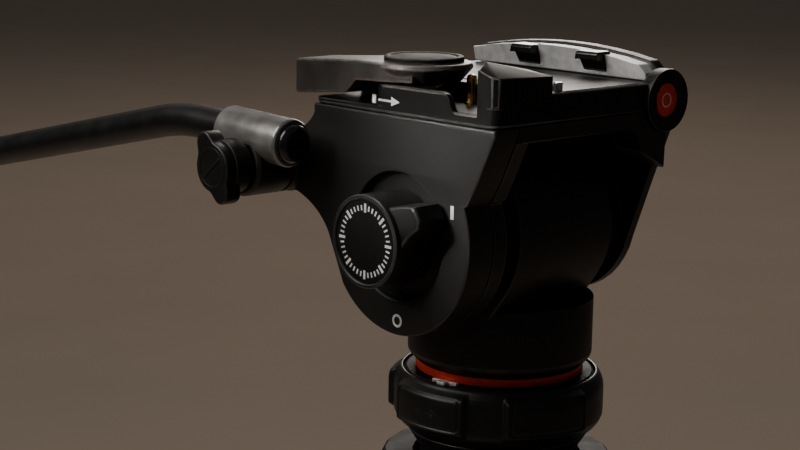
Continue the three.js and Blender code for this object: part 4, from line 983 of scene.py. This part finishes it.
print("pan base:", len(housing.data.polygons) + len(red_ring.data.polygons), "faces")

# %% Bubble level in the cup's rim
vial_low, vial_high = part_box("bubble_level")
vial_y = (vial_low[1] + vial_high[1]) / 2 * 1000
bezel = spun(
    "level_bezel", [(3.9, 22.8), (4.9, 22.8), (4.9, 24.3, 0.3), (3.9, 24.3, 0.3)],
    upright(0, vial_y, 0), steps=48,
)
dress(bezel, "steel", "pan", "bubble_level")
fluid = spun(
    "level_fluid", [(0, 22.9), (3.8, 22.9), (3.8, 23.8, 0.4), (0, 24.1)], upright(0, vial_y, 0),
    steps=48, closed=False,
)
dress(fluid, "vial", "pan")
bubble_mark = spun(
    "level_circle", [(1.5, 24.0), (1.75, 24.0), (1.75, 24.12), (1.5, 24.12)],
    upright(0, vial_y, 0), steps=32, ease=0.02,
)
dress(bubble_mark, "plastic", "pan")

# %% Pan lock knob
knob_turn = math.radians(43)
outward = Vector((math.cos(knob_turn), math.sin(knob_turn), 0))
knob_seat = on_head(0, 0, 11) + outward * 0.0335
pan_knob = spun(
    "pan_knob_body",
    [(0, -8), (3, -8), (3, 0), (8.2, 0, 0.4), (7.4, 3.5, 0.6), (7.4, 13.6, 0.8), (6.2, 15, 0.6),
     (0, 15.2)],
    aimed(knob_seat, knob_seat + outward), steps=72, closed=False,
)
pan_flutes = blocks(
    "pan_knob_flutes", aimed(knob_seat, knob_seat + outward) @ Matrix.Translation((0, 0, 0.0085)),
    16, 7.5, 1.7, 1.7, 9.6, "plastic", 45,
)
dress(merged("pan_lock_looks", pan_knob, pan_flutes), "plastic", "pan_knob", "pan_lock_knob")

# %% [markdown]
# ## Levelling plate and collar
# The head stands on a flat black plate, held by a thick plastic collar. The collar is
# a shallow dish with four raised pads, so it is made as a grid round the axis whose
# radius at each height follows the dish, the pads and the thin groove round each pad.

# %% Plate with its anti-turn key
level_plate = spun(
    "levelling_plate_looks",
    [(5, -3.3), (33.0, -3.3, 0.3), (34.2, -4.2, 0.6), (34.2, -8.3, 0.3), (5, -8.3)], upright(),
    steps=144, ease=0.2,
)
# The plate takes the darker casting finish, as painted shade inside the collar.
dress(level_plate, "shaded", "base", "levelling_plate")
key_angle = math.radians(187)
key_turn = upright() @ Matrix.Rotation(key_angle, 4, "Z")
key_plate = plate(
    "turn_key",
    [[(30.4, -5.2), (31.9, -5.2), (31.9, -1.9), (34.0, -1.6), (34.0, 1.6), (31.9, 1.9),
      (31.9, 5.2), (30.4, 5.2)]],
    -3.3, -2.3, key_turn, 0.15,
)
dress(key_plate, "jaw", "base")
for side, name in ((-1, "key_slot_left"), (1, "key_slot_right")):
    slot = plate(
        name, [[(31.2, side * 5.6), (33.4, side * 2.4), (33.6, side * 3.2), (31.6, side * 7.4)]],
        -3.3, -3.05, key_turn, 0.05,
    )
    dress(slot, "gloss", "base")

# %% Collar
def smooth_step(value, low, high):
    t = min(max((value - low) / (high - low), 0), 1)
    return t * t * (3 - 2 * t)


pad_angles = (182, 251, 38, 110)
collar_section = [
    (19.8, -24.2), (30.5, -24.2), (33.8, -23.6), (35.6, -22.0), (36.8, -20.4), (37.5, -18.8),
    (37.6, -17.2), (37.6, -9.0), (37.4, -7.4), (37.0, -6.0), (36.3, -4.6), (35.6, -3.6),
    (35.0, -3.15), (34.6, -3.2), (34.5, -3.6), (34.5, -8.6), (19.8, -8.6),
]


def fine_section(points, reach=0.35):
    out = []
    for (r0, z0), (r1, z1) in zip(points, points[1:] + points[:1]):
        inner = max(r0, r1) < 34.7 and abs(z0 - z1) < 0.7
        count = 1 if inner else max(1, round(math.dist((r0, z0), (r1, z1)) / reach))
        out += [(r0 + (r1 - r0) * i / count, z0 + (z1 - z0) * i / count) for i in range(count)]
    return out


def pad_share(degrees, height):
    """How far a point is on a raised pad (0 to 1), and how far in the groove round it."""
    nearest = min(abs((degrees - angle + 180) % 360 - 180) for angle in pad_angles)
    raised = 1 - smooth_step(nearest, 22.6, 25.4)
    upper = 1 - smooth_step(height, -6.6, -4.2)
    lower = smooth_step(height, -20.6, -18.2)
    sideways = nearest * math.pi / 180 * 39
    corner_x = max(sideways - (14.2 - 1.8), 0)
    corner_z = max(abs(height + 11.9) - (5.6 - 1.8), 0)
    from_edge = math.hypot(corner_x, corner_z) - 1.8
    return raised * upper * lower, math.exp(-((from_edge / 0.32) ** 2)), from_edge < 0


shape = bmesh.new()
section = fine_section(collar_section)
columns = 720
collar_rings = []
for radius, height in section:
    ring = []
    for i in range(columns):
        degrees = i * 360 / columns
        swell, groove, inside_pad = pad_share(degrees, height)
        reach = radius
        if radius > 34.6 and height > -22:
            reach += 2.1 * swell - 0.45 * groove * (radius > 36) - 0.12 * inside_pad * (radius > 36)
        angle = math.radians(degrees)
        ring.append(shape.verts.new((reach * math.cos(angle), reach * math.sin(angle), height)))
    collar_rings.append(ring)
for low, high in zip(collar_rings, collar_rings[1:] + collar_rings[:1]):
    for i in range(columns):
        shape.faces.new([low[i], low[(i + 1) % columns], high[(i + 1) % columns], high[i]])
collar = new_piece("collar_looks", shape, [False] * (columns * len(section)), upright())
collar.data.set_sharp_from_angle(angle=math.radians(60))
dress(collar, "collar", "collar", "levelling_collar")
print("collar:", len(collar.data.polygons), "faces")

# %% An arrow on the collar's front pad
arrow_flat = [(-5.2, -0.35), (2.2, -0.35), (2.2, -1.9), (5.6, 0), (2.2, 1.9), (2.2, 0.35), (-5.2, 0.35)]
lock_arrow = plate("collar_arrow", [arrow_flat], 39.2, 39.75, Matrix.Identity(4), 0.08)
for vertex in lock_arrow.data.vertices:
    turn_by = math.radians(184) + vertex.co.x * 1000 / 39.5
    place = (vertex.co.z * math.cos(turn_by), vertex.co.z * math.sin(turn_by))
    vertex.co = (place[0], place[1], vertex.co.y - 0.0125 + head_height)
dress(lock_arrow, "plastic", "collar")

# %% [markdown]
# ## Platform fittings
# The plate clamp on top is a lever with a cone under its hub, a brass pivot and a spring
# pin. The lever was cast and then handled a lot, so its edges are soft. Its node is
# remeshed into small even faces and smoothed, which rounds every edge a little.

# %% Lock lever
def handled(node, voxel, passes, finish, body):
    """A copy of a node with all its edges softened, as on a casting that is held a lot."""
    piece = merged_copy(node)
    remesh = piece.modifiers.new("remesh", "REMESH")
    remesh.mode = "VOXEL"
    remesh.voxel_size = voxel / 1000
    soften = piece.modifiers.new("soften", "SMOOTH")
    soften.factor = 0.5
    soften.iterations = passes
    baked(piece)
    mesh = piece.data
    sharpness = [0.0] * len(mesh.vertices)
    for edge in mesh.edges:
        a, b = (mesh.vertices[i] for i in edge.vertices)
        change = a.normal.angle(b.normal, 0)
        for i in edge.vertices:
            sharpness[i] = max(sharpness[i], change)
    # The sharper edges get the edge mask, which paints them paler: wear and a painted highlight.
    known = mesh.attributes.new("edge", "FLOAT", "POINT")
    known.data.foreach_set("value", [min(1.0, max(0.0, (s - 0.12) / 0.3)) for s in sharpness])
    mesh.polygons.foreach_set("use_smooth", [True] * len(mesh.polygons))
    return dress(piece, finish, body, node)


lever = handled("lock_lever", 0.4, 5, "lever", "plate_lever")
print("lever:", len(lever.data.polygons), "faces")

# %% Lever cap, pivot and spring pin
pivot_x, pivot_y = -37, 3.5
lever_cap = spun(
    "lever_disc_looks",
    [(0, 108.4), (13.6, 108.4, 0.3), (13.3, 110.1, 0.5), (11.7, 110.1, 0.35), (11.2, 109.55, 0.25),
     (10.4, 109.55, 0.25), (10.0, 109.95, 0.4), (0, 110.05)],
    upright(pivot_x, pivot_y), steps=112, closed=False,
)
dress(lever_cap, "disc", "plate_lever", "lever_disc")
pivot = spun(
    "lever_pivot_looks",
    [(0, 91.7), (4, 91.7), (4, 98.6), (6.4, 98.6, 0.3), (6.4, 100.6, 0.4), (4, 101.0), (4, 108.1),
     (0, 108.1)],
    upright(pivot_x, pivot_y), steps=64, closed=False,
)
dress(pivot, "brass", "cradle", "lever_pivot")
pin = spun(
    "safety_pin_looks",
    [(0, 94.8), (1.8, 94.8), (1.8, 103.2, 0.3), (1.5, 104.5, 0.5), (0, 104.8)],
    upright(-30, -12.2), steps=48, closed=False,
)
dress(pin, "brass", "plate_pin", "safety_pin")

# %% The end barrel's red disc with its ring, and small pins by the guard
barrel_x, barrel_z = 32.5, 94.7
disc = spun(
    "barrel_disc_looks",
    [(0, -44.8), (5.9, -44.8, 0.3), (5.9, -43.0), (0, -43.0)], lengthways(barrel_x, barrel_z),
    steps=64, closed=False,
)
dress(disc, "red", "cradle", "barrel_disc")
dimple = spun(
    "barrel_disc_rim", [(2.1, -44.86), (2.5, -44.86), (2.5, -44.7), (2.1, -44.7)],
    lengthways(barrel_x, barrel_z), steps=48, ease=0.05,
)
dress(dimple, "jaw", "cradle")
stop_pin = spun(
    "plate_stop_pin", [(0, 100.6), (1.5, 100.6), (1.5, 104.0, 0.4), (0, 104.1)],
    upright(-18.6, -40.2), steps=40, closed=False,
)
dress(stop_pin, "steel", "cradle")
stop_peg = spun(
    "plate_stop_peg", [(0, 100.6), (2.0, 100.6), (2.0, 103.2, 0.6), (0, 103.5)],
    upright(-16.2, -37.0), steps=40, closed=False,
)
dress(stop_peg, "plastic", "cradle")

# %% [markdown]
# ## Pan bar and its clamp
# The bar's clamp is a satin metal sleeve on a round toothed joint, tightened by a winged
# knob. The tube is one bent pipe and ends in a ribbed rubber grip.

# %% Sleeve, joint teeth and cap
sleeve_slope = 0.0394
sleeve_x = -65
sleeve_front_y, sleeve_rear_y, sleeve_front_z = 38.4, 72, 78.5


def sleeve_point(y):
    return on_head(sleeve_x, y, sleeve_front_z + (y - sleeve_front_y) * sleeve_slope)


sleeve = spun(
    "sleeve",
    [(6.3, 0), (7.8, 0, 0.3), (8.4, 0.8, 0.5), (8.4, 33.2, 0.6), (7.9, 33.6, 0.3), (6.3, 33.6, 0.3)],
    aimed(sleeve_point(sleeve_front_y), sleeve_point(sleeve_rear_y)), steps=96,
)
joint = spun(
    "clamp_joint",
    [(2.8, -73.2), (10.2, -73.2, 0.5), (11.2, -72.2, 0.5), (11.2, -57.6, 0.5), (9.8, -56.9, 0.3),
     (2.8, -56.9)],
    across(joint_y, joint_z), steps=96,
)
dress(sleeve, "satin", "bar", "clamp_bracket")
dress(joint, "plastic", "bar")
teeth = blocks(
    "joint_teeth", across(joint_y, joint_z, -56.75), 48, 8.2, 3.6, 0.5, 0.5, "plastic", 0,
)
dress(teeth, "plastic", "bar")
cap_start = sleeve_point(38.9)
cap_end = sleeve_point(30)
end_cap = spun(
    "sleeve_cap_looks",
    [(0, 0), (6.1, 0), (6.7, 0.6, 0.4), (6.7, 1.8, 0.8), (5.6, 3.4, 1.2), (3.0, 3.95, 1.0), (0, 4.0)],
    aimed(cap_start, cap_end), steps=72, closed=False,
)
dress(end_cap, "gloss", "bar", "sleeve_cap")

# %% Winged knob
knob_front = -85.0
wing_turn = math.radians(62)


def wing_outline(round_part, tip, sharpness):
    out = []
    for i in range(144):
        angle = 2 * math.pi * i / 144
        off = (angle - wing_turn + math.pi / 2) % math.pi - math.pi / 2
        reach = round_part + (tip - round_part) * math.exp(-abs(off / sharpness) ** 3)
        out.append((joint_y + reach * math.cos(angle), joint_z + reach * math.sin(angle)))
    return out


wings = plate("wings", [wing_outline(8.6, 13.2, 0.42)], knob_front, knob_front + 6.4, across(0, 0), 0.8, 3)
wing_hub = spun(
    "wing_hub",
    [(2.8, knob_front + 4), (9.4, knob_front + 4), (9.6, -74.6, 0.6), (8.6, -73.8, 0.4),
     (2.8, -73.8)],
    across(joint_y, joint_z), steps=72,
)
face_ring = spun(
    "wing_face_ring",
    [(6.3, knob_front - 0.15, 0.1), (7.1, knob_front - 0.15, 0.1), (7.1, knob_front + 0.6),
     (6.3, knob_front + 0.6)],
    across(joint_y, joint_z), steps=64, ease=0.1,
)
slot_bar = plate(
    "wing_slot", [[(-5.9, -0.5), (5.9, -0.5), (5.9, 0.5), (-5.9, 0.5)]], -0.3, 0.5,
    across(joint_y, joint_z, knob_front) @ Matrix.Rotation(math.radians(-38), 4, "Z"), 0.15,
)
dress(
    merged("clamp_knob_looks", wings, wing_hub, face_ring, slot_bar), "plastic", "bar_knob",
    "clamp_knob",
)

# %% The bent tube
bend_y, bend_run, fall, tube_end_y = 100, 14, 0.2217, 372
bend_z = sleeve_front_z + (bend_y - sleeve_front_y) * sleeve_slope


def tube_height(y):
    if y < bend_y:
        return sleeve_front_z + (y - sleeve_front_y) * sleeve_slope
    return bend_z - (y - bend_y) * fall


corner_start = (bend_y - bend_run, tube_height(bend_y - bend_run))
corner_end = (bend_y + bend_run, tube_height(bend_y + bend_run))
tube_path = [(46, tube_height(46)), corner_start]
tube_path += bend(corner_start, (bend_y, bend_z), corner_end, 14)
tube_path += [(y, tube_height(y)) for y in (160, 220, 290, tube_end_y)]
tube_curve = bpy.data.curves.new("pan_tube", "CURVE")
tube_curve.dimensions = "3D"
tube_curve.bevel_depth = 0.006
tube_curve.bevel_resolution = 10
tube_curve.use_fill_caps = True
tube_line = tube_curve.splines.new("POLY")
tube_line.points.add(len(tube_path) - 1)
for point, (y, z) in zip(tube_line.points, tube_path):
    point.co = (*on_head(sleeve_x, y, z), 1)
tube_drawn = link(bpy.data.objects.new("pan_tube", tube_curve))
bpy.context.view_layer.update()
graph = bpy.context.evaluated_depsgraph_get()
tube_mesh = bpy.data.meshes.new_from_object(tube_drawn.evaluated_get(graph))
bpy.data.objects.remove(tube_drawn)
shape = bmesh.new()
shape.from_mesh(tube_mesh)
bmesh.ops.remove_doubles(shape, verts=shape.verts, dist=1e-6)
bmesh.ops.recalc_face_normals(shape, faces=shape.faces)
shape.to_mesh(tube_mesh)
shape.free()
pan_tube = settle(link(bpy.data.objects.new("pan_bar_looks", tube_mesh)))
mark_edges(tube_mesh, [False] * len(tube_mesh.polygons))
dress(pan_tube, "tube", "bar", "pan_bar")

# %% The grip with its ribs
grip_direction = (on_head(0, 1, -fall) - on_head(0, 0, 0)).normalized()
grip_tip = on_head(sleeve_x, tube_end_y, tube_height(tube_end_y)) + grip_direction * 0.005
grip_start = grip_tip - grip_direction * 0.096
grip = spun(
    "grip_body",
    [(6.3, 0), (10.2, 0, 0.6), (12.2, 2.4, 1.2), (11.6, 8, 2), (12.4, 20, 4), (12.7, 60, 8),
     (12.6, 88, 3), (12.9, 92.5, 1.2), (11.4, 96, 1.6), (0, 96.0), (0, 91.4), (6.3, 91.4)],
    aimed(grip_start, grip_tip), steps=96, closed=False,
)
ribs = hoops(
    "grip_ribs", aimed(grip_start, grip_tip) @ Matrix.Translation((0, 0, 0.014)), 22, 3.3, 12.4,
    0.95, "rubber",
)
dress(merged("bar_grip_looks", grip, ribs), "rubber", "bar", "bar_grip")
print("pan bar:", len(tube_mesh.polygons), "faces")

# %% [markdown]
# ## Tilt lock and fasteners of the head
# The tilt lock is a small lever on the far side. Socket screws hold the far wall and the
# platform, as on most cast heads.

# %% Tilt lock, screws under the deck and on the far wall
refine("tilt_lock_lever", 0.8, "plastic", "tilt_knob", 3)
lock_cap = spun(
    "tilt_lock_cap", [(0, 45.4), (6.4, 45.4), (6.4, 46.1, 0.4), (0, 46.3)], across(0, tilt_z),
    steps=56, closed=False,
)
dress(lock_cap, "gloss", "tilt_knob")
far_wall_x, screw_circle = 37, 21
far_spots = []
for degrees in (35, 90, 145, 200):
    y = screw_circle * math.cos(math.radians(degrees))
    z = tilt_z + screw_circle * math.sin(math.radians(degrees))
    far_spots.append((on_head(far_wall_x, y, z), (1, 0, 0)))
deck_spots = [(on_head(x, y, 86.0), (0, 0, -1)) for x in (-24, 22) for y in (34, -4)]
head_screws = screws("head_screws", far_spots, 1.0)
dress(head_screws, "steel", "cradle")
deck_screws = screws("deck_screws", deck_spots, 1.0)
dress(deck_screws, "steel", "cradle")
print("screws:", len(far_spots) + len(deck_spots))

# %% [markdown]
# ## Levelling ball and crown
# Under the plate is a cone and a ball, which rock in a plastic liner in the crown. The
# crown is a casting with six ears for the legs, and a knurled nut under it locks the
# ball.

# %% Ball, crown and tie nut
ball_centre = -30


def ball_points(radius, low, high, steps):
    angles = [math.radians(low + (high - low) * i / steps) for i in range(steps + 1)]
    return [(radius * math.cos(a), ball_centre + radius * math.sin(a), 0) for a in angles]


ball = spun(
    "levelling_ball_looks",
    [(5.3, -16.6)] + ball_points(28.1, -78, -5, 24) + [(33.0, -24.6, 0.8), (19.5, -24.6, 0.3)]
    + [(19.5, -8.7), (9.3, -8.7), (9.3, -16.6)],
    upright(), steps=112,
)
dress(ball, "anodised", "base", "levelling_ball")
# The crown takes the darker casting finish, as painted shade under the collar.
refine("crown", 0.7, "shaded", "crown", 3)
refine("cup_liner", 0.3, "plastic", "liner", 2)
nut_low, nut_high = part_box("tie_cup")
nut_bottom = (nut_low[2] - head_height) * 1000
nut_top = (nut_high[2] - head_height) * 1000
nut = spun(
    "tie_nut",
    [(5.4, nut_bottom), (17.6, nut_bottom, 0.8), (19.2, nut_bottom + 2, 0.8),
     (19.2, nut_top - 1.4, 0.3), (17.5, nut_top - 1.8, 0.3), (5.4, nut_top - 5.1)],
    upright(), steps=96,
)
knurl = blocks(
    "tie_nut_knurl", upright(0, 0, (nut_bottom + nut_top) / 2 - 0.2), 48, 19.1, 1.1, 1.1,
    max(nut_top - nut_bottom - 4.6, 2), "plastic", 45,
)
dress(merged("tie_nut_looks", nut, knurl), "plastic", "base", "tie_cup")
print("crown refined, nut from", round(nut_bottom, 1), "to", round(nut_top, 1))

# %% [markdown]
# ## Legs
# Each leg is a cast socket on a hinge pin, a satin black tube, a lock with a folding
# lever, and a thinner tube that ends in a rubber foot. One function makes a leg in its
# own frame, and is called for the three of them.

# %% One leg
spread = math.radians(25)
upper_outer, upper_bore, upper_top, upper_end = 14, 12.5, -22.3, -400
lower_outer, lower_bore, lower_top, lower_end = 12, 10.5, -350, -722
pin_reach = 17.2


def leg_frame(number):
    """The leg's own frame: the pin at the origin along Y, and the leg down along -Z."""
    turn_round = -math.pi / 2 + (number - 1) * 2 * math.pi / 3
    pin_place = on_head(50 * math.cos(turn_round), 50 * math.sin(turn_round), -64)
    facing_leg = Matrix.Rotation(turn_round, 4, "Z") @ Matrix.Rotation(-spread, 4, "Y")
    return Matrix.Translation(pin_place) @ facing_leg


def build_leg(number):
    leg = leg_frame(number)
    body = f"leg_{number}"
    refine(f"leg_socket_{number}", 0.6, "casting", body, 3)
    upper = spun(
        f"upper_tube_looks_{number}",
        [(upper_bore, upper_end), (upper_outer, upper_end, 0.3), (upper_outer, upper_top, 0.3),
         (upper_bore, upper_top)],
        leg, steps=80,
    )
    dress(upper, "tube", body, f"upper_tube_{number}")
    lower = spun(
        f"lower_tube_looks_{number}",
        [(lower_bore, lower_end), (lower_outer, lower_end, 0.3), (lower_outer, lower_top, 0.3),
         (lower_bore, lower_top)],
        leg, steps=72,
    )
    dress(lower, "tube", f"leg_end_{number}", f"lower_tube_{number}")
    refine(f"leg_lock_{number}", 0.5, "plastic", body, 3)
    lock_ribs = hoops(
        f"lock_ribs_{number}", leg @ Matrix.Translation((0, 0, -0.4115)), 2, 2.4, 18.45, 0.5,
        "plastic",
    )
    dress(lock_ribs, "plastic", body)
    refine(f"lock_lever_{number}", 0.5, "plastic", f"leg_lever_{number}", 3)
    handled(f"foot_{number}", 0.6, 3, "rubber", f"leg_end_{number}")
    foot_ribs = hoops(
        f"foot_ribs_{number}", leg @ Matrix.Translation((0, 0, -0.7345)), 3, 2.6, 13.9, 0.55,
        "rubber",
    )
    dress(foot_ribs, "rubber", f"leg_end_{number}")
    pin_ends = [
        (leg @ Vector((0, side * pin_reach / 1000, 0)), leg.to_3x3() @ Vector((0, side, 0)))
        for side in (-1, 1)
    ]
    caps = screws(f"hinge_screws_{number}", pin_ends, 1.35)
    dress(caps, "steel", "crown")


for number in (1, 2, 3):
    build_leg(number)
bpy.data.objects.remove(screw_model)

# %% Every other CAD node gets its finish
record = frame["record"]
slot_of = {part["node"]: part["material_slot"] for part in record["subparts"]}
for name, node in frame["nodes"].items():
    if node.hide_render:
        continue
    node.data.materials.clear()
    node.data.materials.append(finishes[slot_of[name]])
